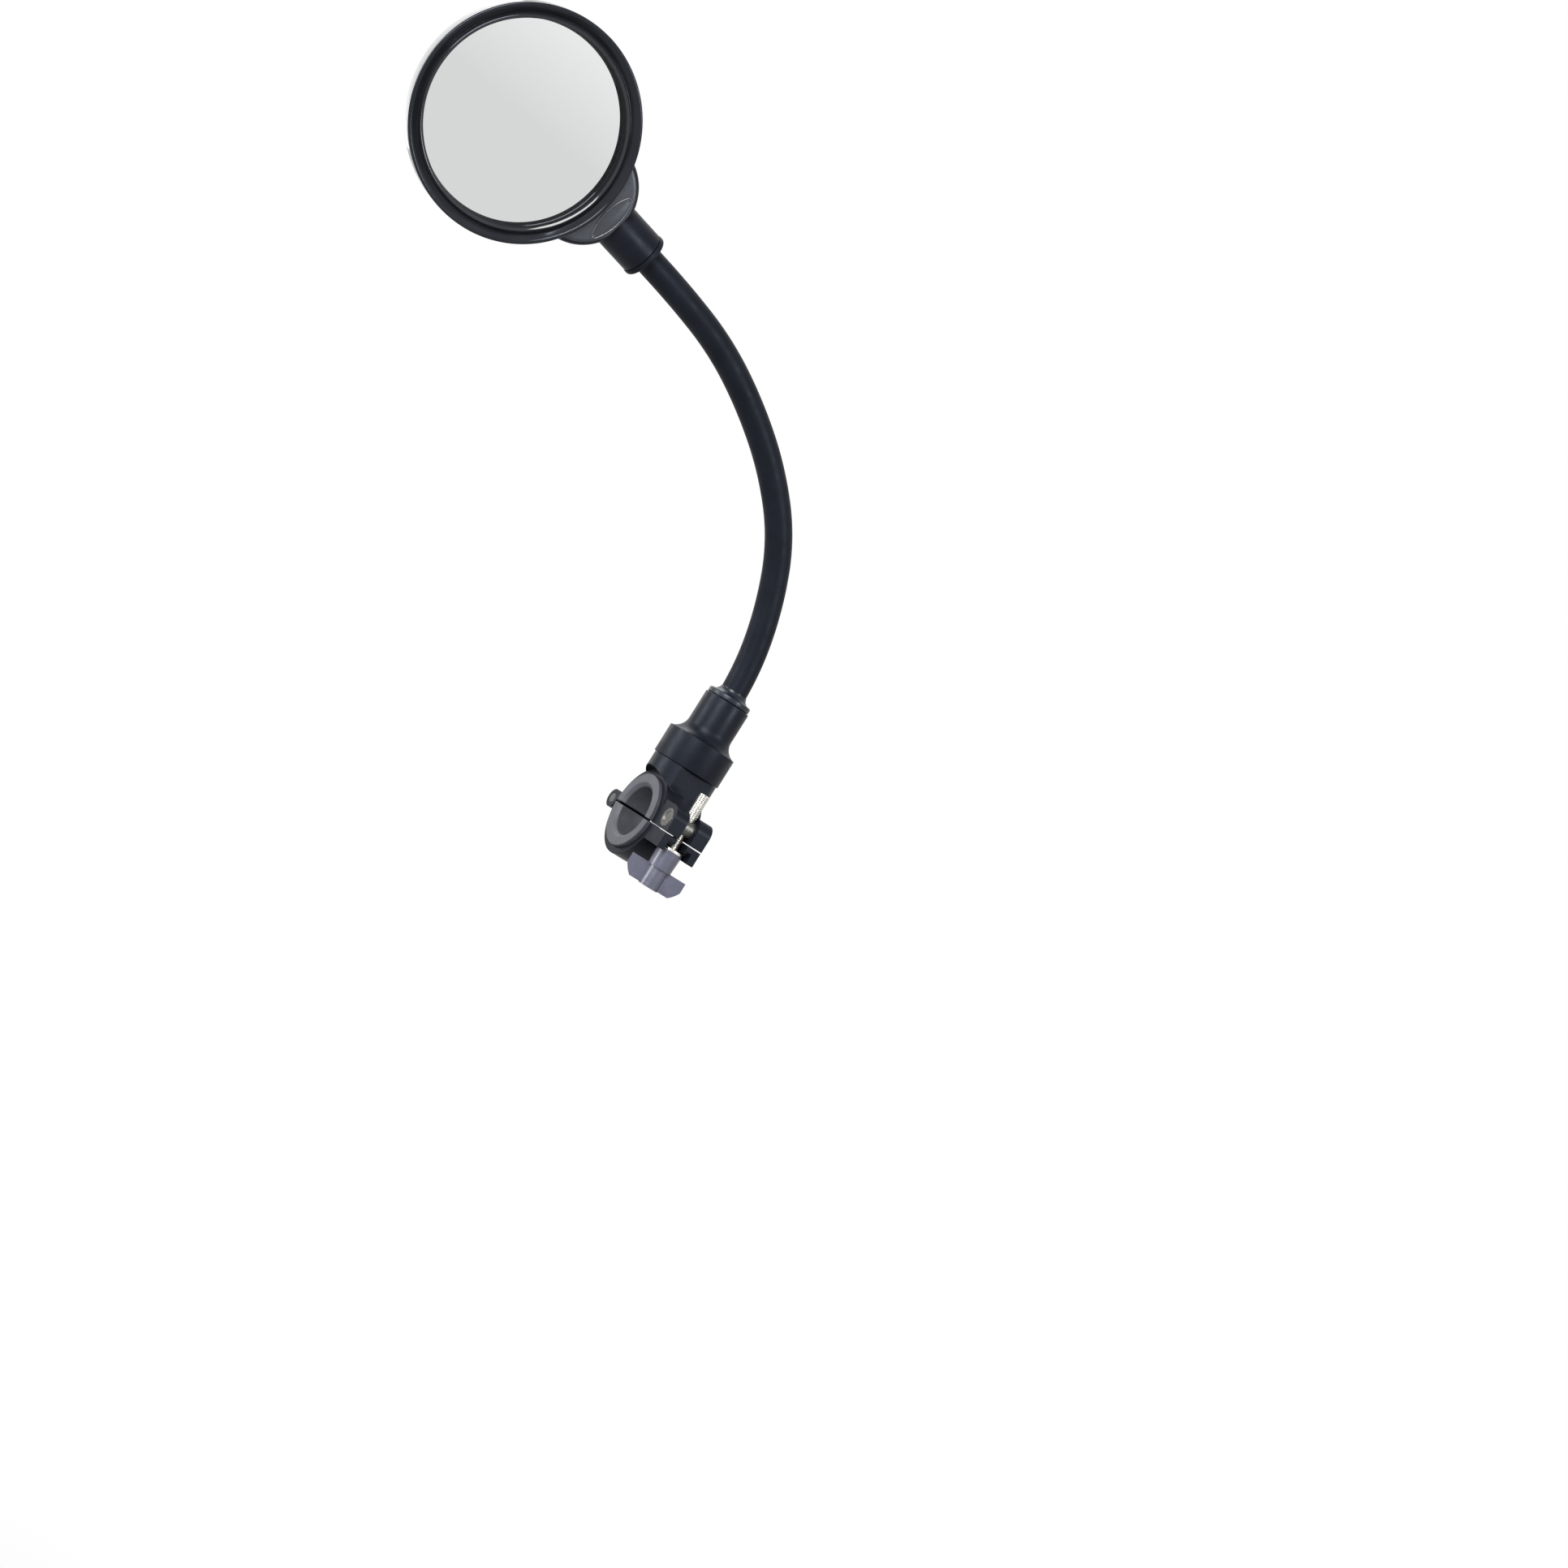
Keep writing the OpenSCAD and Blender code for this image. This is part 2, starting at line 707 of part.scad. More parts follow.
// Half section of the dish, drawn inwards by t: radius along X, height along Y.
module dish_section(t) {
  corner = dish_corner - t;
  tangent = corner_x + corner * corner_x / (dish_curve - dish_corner);
  intersection() {
    translate([0, dish_cz]) circle(dish_curve - t, $fn = 720);
    translate([0, -dish_depth - 1]) square([tangent, seam_z + dish_depth + 1]);
  }
  intersection() {
    translate([corner_x, corner_z]) circle(corner);
    translate([corner_x - 1, corner_z - corner - 1]) square([corner + 2, corner + 2]);
  }
  translate([0, corner_z]) square([dish_r - t, seam_z - corner_z]);
}

// Half section of the shoulder's puck, rounded on both edges.
module shoulder_section() {
  c = shoulder_round;
  h = 2 * shoulder_top;
  translate([0, -shoulder_top]) square([shoulder_r - c, h]);
  translate([0, c - shoulder_top]) square([shoulder_r, h - 2 * c]);
  for (z = [c - shoulder_top, shoulder_top - c]) translate([shoulder_r - c, z]) circle(c);
}

// A dish with a round, cut-off shoulder, hollowed out, and bored for the socket, the screw and the oval cap.
module back_shell() {
  color(BLACK) at_face() difference() {
    union() {
      rotate_extrude() dish_section(0);
      difference() {
        translate([0, -shoulder_y, 0]) rotate_extrude() shoulder_section();
        round_between(head_r + free_gap, seam_z, seam_z + shoulder_r);
        translate([0, -shoulder_end - shoulder_r / 2, 0])
          cube([2 * shoulder_r + 2, shoulder_r, 2 * shoulder_top + 2], center = true);
      }
    }
    rotate_extrude() dish_section(shell_wall);
    round_between(dish_r - shell_wall, seam_z - 1, seam_z + 1);
    translate([0, socket_end - head_reach + fit_gap, 0]) rotate([90, 0, 0])
      cylinder(r = socket_r + fit_gap, h = 2 * shoulder_r);
    translate([0, -corner_x, 0]) rotate([90, 0, 0]) cylinder(r = neck_head_r + free_gap, h = shoulder_r);
    translate([0, -oval_y, shoulder_top - 1]) oval(0.1, 5);
  }
}

// A four-arc oval, drawn outwards by t and raised by h.
module oval(t, h) {
  x = oval_a - oval_end;
  reach = x + oval_end * x / sqrt(x * x + pow(oval_curve - oval_b, 2));
  intersection() {
    translate([0, oval_b - oval_curve, 0]) cylinder(r = oval_curve + t, h = h, $fn = 360);
    translate([0, oval_curve - oval_b, 0]) cylinder(r = oval_curve + t, h = h, $fn = 360);
    translate([-reach, -oval_b - 1, 0]) cube([2 * reach, 2 * oval_b + 2, h]);
  }
  for (s = [-x, x]) translate([s, 0, 0]) cylinder(r = oval_end + t, h = h);
}

module oval_cap() {
  color(BLACK) at_face() translate([0, -oval_y, shoulder_top - 1 + fit_gap]) difference() {
    oval(0, 1 + oval_bead);
    translate([0, 0, 0.9]) oval(-0.7, 2);
  }
}

// Rounded outer edge, slope, groove and inner bead, a lip over the glass and a skirt inside the shell.
module bezel() {
  skirt_in = glass_r + free_gap;
  color(BLACK) at_face() union() {
    rotate_extrude() translate([band_x, band_z]) circle(band_r);
    rotate_extrude() translate([bead_x, bead_z]) circle(bead_r);
    rotate_extrude() polygon([
      [lip_r, lip_z], [bead_x - 0.8 * bead_r, bead_z], [bead_x, bead_z + 0.8 * bead_r],
      [bead_x + 0.6 * bead_r, bead_z], [bead_x + groove_set, bead_z - groove_depth],
      [band_x - 0.5 * band_r, band_z + 0.6 * band_r], [band_x + 0.8 * band_r, band_z],
      [dish_r, seam_z + seam_gap], [skirt_r, seam_z + seam_gap], [skirt_r, skirt_z],
      [skirt_in, skirt_z], [skirt_in, lip_z]
    ]);
  }
}

// A round cut from a spherical shell whose rim lies at the glass seat, sunk by depth.
module meniscus(r, depth, t) {
  translate([0, 0, glass_centre - depth]) intersection() {
    difference() {
      sphere(glass_curve, $fn = 360);
      sphere(glass_curve - t, $fn = 360);
    }
    cylinder(r = r, h = 2 * glass_curve);
  }
}

module mirror_glass() {
  color(SILVER) at_face() meniscus(glass_r, 0, glass_t);
}

module glass_pad() {
  color(FOAM) at_face() meniscus(glass_r - 3, glass_t + fit_gap, pad_t);
}

upper_jaw();
lower_jaw();
upper_shim();
lower_shim();
hinge_pin();
trunnion_nut();
swing_bolt();
clamp_washer();
wing_knob();
swivel_screw();
swivel_washer();
collar();
lower_ferrule();
lower_arm_cap();
arm_sleeve();
link_1();
link_2();
link_3();
link_4();
link_5();
link_6();
link_7();
upper_ferrule();
upper_arm_cap();
neck_socket();
neck_screw();
neck_washer();
back_shell();
oval_cap();
bezel();
mirror_glass();
glass_pad();
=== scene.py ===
"""Dresses the solids of a round bike mirror: head, gooseneck arm, swivel collar and clamp."""

import math

import bmesh
import bpy
from bpy.props import FloatProperty, FloatVectorProperty, IntProperty, PointerProperty
from mathutils import Matrix, Vector


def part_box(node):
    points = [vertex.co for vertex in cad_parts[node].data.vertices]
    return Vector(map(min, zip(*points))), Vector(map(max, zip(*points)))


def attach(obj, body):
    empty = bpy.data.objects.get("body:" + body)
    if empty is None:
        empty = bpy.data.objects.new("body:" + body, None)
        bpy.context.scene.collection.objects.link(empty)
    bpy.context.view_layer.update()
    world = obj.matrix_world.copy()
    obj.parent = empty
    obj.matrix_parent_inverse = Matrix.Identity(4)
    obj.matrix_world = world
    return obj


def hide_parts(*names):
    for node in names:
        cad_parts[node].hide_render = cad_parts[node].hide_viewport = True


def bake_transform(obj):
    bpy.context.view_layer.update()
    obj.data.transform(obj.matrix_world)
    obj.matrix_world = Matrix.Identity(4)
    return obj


bl_info = {
    "name": "Gooseneck bike mirror",
    "version": (1, 0, 0),
    "blender": (4, 5, 0),
    "location": "View3D > Sidebar > Bike mirror",
    "description": "Builds the visible surfaces of a round mirror on a flexible arm with a hinged clamp",
    "category": "Object",
}

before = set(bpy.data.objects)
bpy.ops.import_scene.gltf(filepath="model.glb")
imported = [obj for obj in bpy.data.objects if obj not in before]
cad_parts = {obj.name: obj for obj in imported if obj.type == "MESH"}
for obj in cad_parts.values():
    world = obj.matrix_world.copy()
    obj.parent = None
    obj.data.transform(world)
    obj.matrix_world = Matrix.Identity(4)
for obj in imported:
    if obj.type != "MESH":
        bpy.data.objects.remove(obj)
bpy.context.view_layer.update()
ARM_BODIES = ("collar", "arm_2", "arm_3", "arm_4", "arm_5", "arm_6", "arm_end")
LINKS = len(ARM_BODIES)
WHITE = (1.0, 1.0, 1.0)
COOL = (0.78, 0.87, 1.0)

# Play between pieces that touch, in metres
PLAY = 0.00005

# Edges that turn by more than this many degrees are sharp
SHARP = 32.0


def length(name, default, description):
    """A size in metres that the panel shows as a length."""
    return FloatProperty(name=name, default=default, description=description, unit="LENGTH", precision=5)


def offset(name, default, description):
    """A place in metres from a point that the description names."""
    return FloatVectorProperty(
        name=name, default=default, description=description, unit="LENGTH", size=len(default), precision=5
    )


def bearing(name, degrees, description):
    """An angle that the panel shows in degrees."""
    return FloatProperty(name=name, default=math.radians(degrees), description=description, subtype="ANGLE")


def tone(name, default, description):
    """A colour that the panel shows as a swatch."""
    return FloatVectorProperty(
        name=name, default=default, description=description, subtype="COLOR", size=3, min=0.0, max=1.0
    )


def power(name, default, description):
    """A lamp's power in watts."""
    return FloatProperty(name=name, default=default, description=description, unit="POWER")


class MirrorHeadSizes(bpy.types.PropertyGroup):
    """Sizes of the glass, the shell and its shoulder, in the frame of the head's face."""

    glass_radius: length("Glass radius", 0.0406, "Radius of the mirror glass")
    glass_curve: length("Glass curve", 0.4, "Radius of curvature of the convex glass")
    glass_depth: length("Glass thickness", 0.002, "Thickness of the glass")
    glass_seat: length("Glass seat", 0.0068, "Height of the glass's edge over the neck axis")
    glass_ease: length("Glass edge", 0.0002, "Chamfer of the glass's edges")
    seam: length("Seam height", 0.0094, "Height of the seam between shell and rim over the neck axis")
    shell_edge: length("Shell edge", 0.0004, "Rounding of the shell's edges")
    shoulder_reach: length("Shoulder reach", 0.0087, "Length of the shoulder outside the rim")
    shoulder_top: length("Shoulder top", 0.0105, "Height of the shoulder's front over the neck axis")
    shoulder_start: length("Shoulder start", 0.0262, "Distance of the shoulder's end from the arm's end")
    turn: bearing("Head turn", -10.4, "Turn of the head on the neck")


class RimSizes(bpy.types.PropertyGroup):
    """Sizes of the rim's section, from its inner wall to its skirt."""

    width: length("Rim width", 0.0041, "Width of the rim outside the glass")
    rise: length("Rim rise", 0.0024, "Height of the rim's widest line over the seam")
    lap: length("Glass lap", 0.0019, "How far the rim laps over the glass")
    foot_width: length("Foot width", 0.00025, "Width of the bevel where the inner wall meets the glass")
    foot_height: length("Foot height", 0.00018, "Height of the bevel where the inner wall meets the glass")
    bead_radius: length("Bead radius", 0.0008, "Half width of the rim's inner bead")
    bead_drop: length("Bead drop", 0.0012, "Depth of the bead's centre below the rim's widest line")
    bead_sweep: length("Bead sweep", 0.004, "Radius of the bead's shallow face")
    bead_shift: offset("Bead shift", (0.00203, -0.00272), "Centre of the shallow face from the bead's centre")
    bead_flat: length("Bead flat", 0.00105, "Distance of the bead's crest from the inner wall")
    ridge: length("Ridge", 0.0014, "Distance of the ridge behind the crest from the inner wall")
    ridge_drop: length("Ridge drop", 0.0002, "Depth of the ridge below the crest")
    groove_set: length("Groove distance", 0.0012, "Distance of the groove outside the bead's centre")
    groove_depth: length("Groove depth", 0.001, "Depth of the groove below the bead's centre")
    ease: length("Rim ease", 0.0002, "Rounding of the rim's small corners")
    edge_radius: length("Edge radius", 0.0008, "Rounding of the rim's outer edge")
    edge_top: bearing("Edge top", 112.0, "Angle at which the outer edge passes into the wider rounding")
    edge_foot: bearing("Edge foot", -38.0, "Angle at which the outer edge ends above the seam")
    seam_gap: length("Seam gap", 0.00015, "Gap of the seam between shell and rim")
    skirt_inset: length("Skirt inset", 0.00225, "Distance of the skirt inside the rim's edge")
    skirt_foot: length("Skirt foot", 0.00483, "Height of the skirt's foot over the neck axis")
    skirt_gap: length("Skirt gap", 0.0003, "Gap between the skirt and the glass")


class OvalSizes(bpy.types.PropertyGroup):
    """Sizes of the oval cap on the shoulder."""

    half_length: length("Oval half length", 0.0106, "Half length of the oval cap")
    half_width: length("Oval half width", 0.0036, "Half width of the oval cap")
    end_radius: length("Oval end radius", 0.0016, "Radius of the oval's ends")
    land: length("Oval land", 0.001, "Width of the land between the rim and the oval cap")
    depth: length("Oval depth", 0.00095, "Depth of the cap's foot below the shoulder's front")
    border: length("Oval border", 0.0006, "Width of the border round the field")
    sink: length("Oval sink", 0.0001, "Depth of the field's edge below the shoulder's front")
    crown: length("Oval crown", 0.0005, "Rise of the field's middle over its edge")
    bead_radius: length("Oval bead", 0.00021, "Radius of the bead on the border")


class NeckSizes(bpy.types.PropertyGroup):
    """Sizes of the neck socket and its lip, with heights from the arm's end."""

    radius: length("Socket radius", 0.0093, "Radius of the neck socket")
    foot: length("Socket foot", 0.0085, "Height of the socket's foot")
    top: length("Socket top", 0.0329, "Height of the socket's top")
    wall: length("Socket wall", 0.0009, "Wall of the socket below its floor")
    top_wall: length("Socket top wall", 0.002, "Wall of the socket above its floor")
    floor_low: length("Floor underside", 0.02725, "Height of the floor's underside")
    floor_high: length("Floor top", 0.02965, "Height of the floor's top")
    screw_bore: length("Screw bore", 0.0023, "Radius of the screw's bore in the floor")
    edge: length("Socket edge", 0.0003, "Rounding of the socket's edges")
    lip_foot: length("Lip foot", 0.006, "Height of the rubber lip's foot")
    lip_round: length("Lip rounding", 0.0011, "Rounding of the rubber lip's lower edge")
    lip_edge: length("Lip edge", 0.00025, "Rounding of the rubber lip's upper edge")


class ArmSizes(bpy.types.PropertyGroup):
    """Sizes of the gooseneck arm and of its two caps."""

    foot: length("Foot height", 0.05805, "Height at which the arm starts to bend")
    pitch: length("Link length", 0.028, "Length of one link along the arm")
    turns: FloatVectorProperty(
        name="Bends",
        size=LINKS,
        default=tuple(math.radians(bend) for bend in (14.2, 11.3, 18.4, 11.5, 8.2, 11.9, 4.0)),
        description="Bend of each link at rest",
        unit="ROTATION",
    )
    sleeve_radius: length("Sleeve radius", 0.00565, "Outside radius of the rubber sleeve")
    sleeve_wall: length("Sleeve wall", 0.0018, "Wall of the rubber sleeve")
    sleeve_below: length("Sleeve below", 0.0069, "Length of the sleeve below the first link")
    sleeve_beyond: length("Sleeve beyond", 0.01255, "Length of the sleeve beyond the last link")
    cap_radius: length("Cap radius", 0.00955, "Radius of the caps' flanges")
    cap_depth: length("Cap thickness", 0.0023, "Thickness of the caps' flanges")
    sides: IntProperty(
        name="Sleeve sides", default=72, min=12, max=256, description="Facets round the sleeve"
    )


class CollarSizes(bpy.types.PropertyGroup):
    """Sizes of the swivel collar and the lower cap, with heights from the clamp's axis."""

    foot: length("Collar foot", 0.02535, "Height of the collar's foot")
    top: length("Collar top", 0.05735, "Height of the collar's top")
    drum_radius: length("Drum radius", 0.0151, "Radius of the drum")
    drum_top: length("Drum top", 0.03795, "Height of the drum's top")
    neck_radius: length("Neck radius", 0.01005, "Radius of the collar's neck")
    flare_radius: length("Flare radius", 0.0062, "Radius of the hollow between drum and neck")
    flare_start: bearing("Flare start", 258.5, "Angle at which the hollow leaves the drum's top")
    groove_outer: length("Groove outside", 0.0129, "Outer radius of the groove in the collar's foot")
    groove_inner: length("Groove inside", 0.0092, "Inner radius of the groove in the collar's foot")
    groove_top: length("Groove top", 0.03545, "Height of the groove's end")
    pivot_bore: length("Pivot bore", 0.00705, "Radius of the bore that turns on the post")
    arm_bore: length("Arm bore", 0.0082, "Radius of the bore that takes the arm")
    arm_bore_foot: length("Arm bore foot", 0.036, "Height of the floor of the arm's bore")
    foot_edge: length("Foot edge", 0.0003, "Rounding of the drum's lower edge")
    drum_edge: length("Drum edge", 0.00022, "Rounding of the drum's upper edge")
    neck_edge: length("Neck edge", 0.00035, "Rounding of the neck's upper edge")
    plug_radius: length("Plug radius", 0.00815, "Radius of the lower cap's plug")
    plug_foot: length("Plug foot", 0.05115, "Height of the plug's foot")
    cap_foot: length("Cap foot", 0.0576, "Height of the lower cap's flange")
    cap_low_edge: length("Cap lower edge", 0.0003, "Rounding of the flange's lower edge")
    cap_high_edge: length("Cap upper edge", 0.0007, "Rounding of the flange's upper edge")
    cap_flare: length("Cap flare", 0.003, "Radius of the hollow between flange and sleeve")
    cap_lip: length("Cap lip", 0.0002, "Wall of the lower cap where it ends on the sleeve")


class ClampSizes(bpy.types.PropertyGroup):
    """Sizes of the clamp's turned pieces and edge roundings."""

    bolt_radius: length("Bolt radius", 0.0025, "Radius of the swing bolt over its thread")
    bolt_chamfer: length("Bolt chamfer", 0.0006, "Chamfer of the swing bolt's ends")
    thread_pitch: length("Thread pitch", 0.0008, "Pitch of the swing bolt's thread")
    thread_depth: length("Thread depth", 0.00049, "Depth of the swing bolt's thread")
    jaw_edge: length("Jaw edge", 0.00035, "Rounding of the jaws' edges")
    knob_edge: length("Knob edge", 0.0005, "Rounding of the knob's edges")
    trunnion_edge: length("Trunnion edge", 0.0005, "Rounding of the trunnion's edges")
    washer_edge: length("Washer edge", 0.0003, "Rounding of the washer's edges")


class MirrorFinishes(bpy.types.PropertyGroup):
    """Colours of the finishes."""

    satin: tone("Satin black", (0.0036, 0.0044, 0.007), "Moulded plastic of the clamp, collar and socket")
    grained: tone("Grained black", (0.012, 0.0123, 0.0138), "Grained plastic of the shoulder")
    gloss: tone("Gloss black", (0.01, 0.0107, 0.013), "Polished plastic of the rim")
    rubber: tone("Rubber", (0.0036, 0.0044, 0.0068), "Rubber of the sleeve and its caps")
    shim: tone("Shim grey", (0.036, 0.038, 0.046), "Elastic grey of the shims")
    knob: tone("Knob grey", (0.05, 0.052, 0.075), "Purple grey plastic of the knob")
    steel: tone("Steel", (0.62, 0.61, 0.58), "Plated steel")
    silver: tone("Silver", (0.72, 0.74, 0.735), "Silvered glass")
    foam: tone("Foam", (0.05, 0.05, 0.05), "Foam behind the glass")


class StageLook(bpy.types.PropertyGroup):
    """The floor, the lamps and the camera."""

    floor_drop: length("Floor drop", 1.0, "Distance of the floor below the clamp's axis")
    floor_half: length("Floor half width", 6.0, "Half the width of the square floor")
    fade_start: length("Fade start", 0.3, "Distance at which the floor starts to fade to white")
    fade_end: length("Fade end", 2.0, "Distance at which the floor is white")
    floor_dark: tone("Floor", (0.9, 0.9, 0.9), "Darker tone of the floor")
    floor_light: tone("Floor blotches", (0.92, 0.92, 0.92), "Lighter tone of the floor")
    sky: tone("Ambient tint", (0.97, 0.98, 1.0), "Colour of the light from all round")
    ambient: FloatProperty(name="Ambient", default=0.4, description="Strength of the light from all round")
    key: power("Key lamp", 46.0, "Power of the main lamp")
    fill: power("Fill lamp", 11.0, "Power of the lamp on the other side")
    top: power("Top lamp", 9.0, "Power of the lamp overhead")
    side: power("Side lamp", 11.0, "Power of the lamp on the left")
    edge: power("Edge lamp", 2.2, "Power of the lamp behind")
    camera_turn: bearing("Camera turn", -29.45, "Turn of the camera round the object")
    camera_lift: bearing("Camera lift", -1.5, "Angle of the camera over the level")
    camera_roll: bearing("Camera roll", 32.06, "Tilt of the picture")
    camera_reach: length("Camera distance", 1.2, "Distance of the camera from the clamp")
    camera_shift: offset("Camera shift", (0.05353, 0.01539), "Camera's place right of and above the clamp")
    lens: FloatProperty(name="Lens", default=67.53, unit="CAMERA", description="Focal length in millimetres")


class BikeMirrorSettings(bpy.types.PropertyGroup):
    """Everything that the panel offers."""

    head: PointerProperty(type=MirrorHeadSizes)
    rim: PointerProperty(type=RimSizes)
    oval: PointerProperty(type=OvalSizes)
    neck: PointerProperty(type=NeckSizes)
    arm: PointerProperty(type=ArmSizes)
    collar: PointerProperty(type=CollarSizes)
    clamp: PointerProperty(type=ClampSizes)
    finishes: PointerProperty(type=MirrorFinishes)
    stage: PointerProperty(type=StageLook)


def settings():
    """The sizes and colours that the scene holds."""
    return bpy.context.scene.bike_mirror


# Outlines and turned shapes


def arc(x, z, radius, start, end, steps=16):
    """Points on an arc, with its angles in degrees."""
    angles = [math.radians(start + (end - start) * k / steps) for k in range(steps + 1)]
    return [(x + radius * math.cos(a), z + radius * math.sin(a)) for a in angles]


def eased(corners, steps=5):
    """An outline from corners (r, z) or (r, z, rounding), with the rounded ones turned into arcs."""
    points = []
    for i, corner in enumerate(corners):
        here = Vector(corner[:2])
        if len(corner) < 3:
            points.append(tuple(here))
            continue
        back = (Vector(corners[i - 1][:2]) - here).normalized()
        ahead = (Vector(corners[(i + 1) % len(corners)][:2]) - here).normalized()
        half = back.angle(ahead) / 2
        centre = here + (back + ahead).normalized() * corner[2] / math.sin(half)
        first = here + back * corner[2] / math.tan(half) - centre
        last = here + ahead * corner[2] / math.tan(half) - centre
        sweep = math.atan2(first.x * last.y - first.y * last.x, first.dot(last))
        angle = math.atan2(first.y, first.x)
        for k in range(steps + 1):
            a = angle + sweep * k / steps
            points.append((centre.x + corner[2] * math.cos(a), centre.y + corner[2] * math.sin(a)))
    return points


def new_piece(name, mesh, *materials):
    """An object at the origin that holds the mesh and its finishes."""
    piece = bpy.data.objects.new(name, mesh)
    bpy.context.scene.collection.objects.link(piece)
    mesh.materials.clear()
    for material in materials:
        mesh.materials.append(material)
    return piece


def smooth(mesh, angle=SHARP):
    """Smooth shading that breaks at edges sharper than the angle."""
    mesh.shade_smooth()
    mesh.set_sharp_from_angle(angle=math.radians(angle))


def closed_mesh(name, shape):
    """A smooth mesh of a closed shape, with its faces outwards."""
    bmesh.ops.recalc_face_normals(shape, faces=shape.faces)
    mesh = bpy.data.meshes.new(name)
    shape.to_mesh(mesh)
    shape.free()
    smooth(mesh)
    return mesh


def turned(name, outline, place, material, segments=144):
    """A closed outline (r, z) turned about the Z axis of a frame."""
    on_axis = 1e-9
    shape = bmesh.new()
    rings = []
    for r, z in outline:
        count = segments if r > on_axis else 1
        ring = []
        for k in range(count):
            a = 2 * math.pi * k / segments
            ring.append(shape.verts.new(place @ Vector((r * math.cos(a), r * math.sin(a), z))))
        rings.append(ring)
    for i, inner in enumerate(rings):
        outer = rings[(i + 1) % len(rings)]
        for k in range(segments):
            n = (k + 1) % segments
            corners = [ring[at % len(ring)] for ring, at in ((inner, k), (outer, k), (outer, n), (inner, n))]
            corners = list(dict.fromkeys(corners))
            if len(corners) > 2:
                shape.faces.new(corners)
    return new_piece(name, closed_mesh(name, shape), material)


def settle(piece):
    """Turns a piece's modifiers into its plain mesh."""
    bpy.context.view_layer.update()
    depsgraph = bpy.context.evaluated_depsgraph_get()
    mesh = bpy.data.meshes.new_from_object(
        piece.evaluated_get(depsgraph), preserve_all_data_layers=True, depsgraph=depsgraph
    )
    piece.modifiers.clear()
    piece.data = mesh
    return piece


def edge_rounded(name, node, width, material, segments=3):
    """A copy of a solid with every sharp edge rounded."""
    weld, flat = 2e-6, math.radians(0.6)
    shape = bmesh.new()
    shape.from_mesh(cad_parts[node].data)
    bmesh.ops.remove_doubles(shape, verts=shape.verts, dist=weld)
    bmesh.ops.dissolve_limit(
        shape, angle_limit=flat, use_dissolve_boundaries=False, verts=shape.verts, edges=shape.edges
    )
    mesh = bpy.data.meshes.new(name)
    shape.to_mesh(mesh)
    shape.free()
    mesh.shade_smooth()
    piece = new_piece(name, mesh, material)
    bevel = piece.modifiers.new("Edges", "BEVEL")
    bevel.width = width
    bevel.segments = segments
    bevel.limit_method = "ANGLE"
    bevel.angle_limit = math.radians(SHARP)
    bevel.use_clamp_overlap = True
    bevel.miter_outer = "MITER_ARC"
    weighted = piece.modifiers.new("Normals", "WEIGHTED_NORMAL")
    weighted.weight = 100
    weighted.keep_sharp = True
    return settle(piece)


def hand_over(piece, body, slot, *nodes):
    """Lets a piece ride on its body and stand for its solids."""
    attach(piece, body)
    if nodes:
        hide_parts(*nodes)


# The arm's route and the frames on it


def arm_stations():
    """Start and heading of each link, then those of the arm's end."""
    arm = settings().arm
    at, heading, stations = Vector((0, 0, arm.foot)), 0.0, []
    for bend in arm.turns:
        stations.append((at.copy(), heading))
        chord = 2 * arm.pitch / bend * math.sin(bend / 2)
        at += chord * Vector((-math.sin(heading + bend / 2), 0, math.cos(heading + bend / 2)))
        heading += bend
    stations.append((at, heading))
    return stations


def arm_point(distance):
    """Point and direction at a distance along the arm, straight before and after its links."""
    arm = settings().arm
    stations = arm_stations()
    link = max(0, min(LINKS, int(distance // arm.pitch)))
    at, heading = stations[link]
    run = distance - link * arm.pitch
    if distance < 0 or link == LINKS:
        ahead = Vector((-math.sin(heading), 0, math.cos(heading)))
        return at + run * ahead, ahead
    curve = arm.turns[link] / arm.pitch
    angle = heading + curve * run
    step = Vector((math.cos(angle) - math.cos(heading), 0, math.sin(angle) - math.sin(heading)))
    return at + step / curve, Vector((-math.sin(angle), 0, math.cos(angle)))


def neck_frame():
    """Origin at the arm's end, Z along the neck."""
    at, heading = arm_stations()[-1]
    return Matrix.Translation(at) @ Matrix.Rotation(-heading, 4, "Y")


def face_frame():
    """Origin at the head's centre, Y away from the arm, Z out of the mirror."""
    head = settings().head
    reach = Matrix.Translation((0, 0, head.shoulder_start + head.shoulder_reach + head_radius()))
    return neck_frame() @ Matrix.Rotation(head.turn, 4, "Z") @ reach @ Matrix.Rotation(math.pi / 2, 4, "X")


def head_radius():
    """Radius of the head over its rim."""
    return settings().head.glass_radius + settings().rim.width


def glass_height(radius, depth=0.0):
    """Height of the glass over the neck axis at a radius, or of the surface at a depth in it."""
    head = settings().head
    centre = head.glass_seat - math.sqrt(head.glass_curve**2 - head.glass_radius**2)
    return centre + math.sqrt((head.glass_curve - depth) ** 2 - radius**2)


# Geometry Nodes


def add_node(tree, kind, links=None, **options):
    """A node whose inputs come from sockets or plain values."""
    made = tree.nodes.new(kind)
    for key, value in options.items():
        setattr(made, key, value)
    for key, value in (links or {}).items():
        if isinstance(value, bpy.types.NodeSocket):
            tree.links.new(value, made.inputs[key])
        else:
            made.inputs[key].default_value = value
    return made


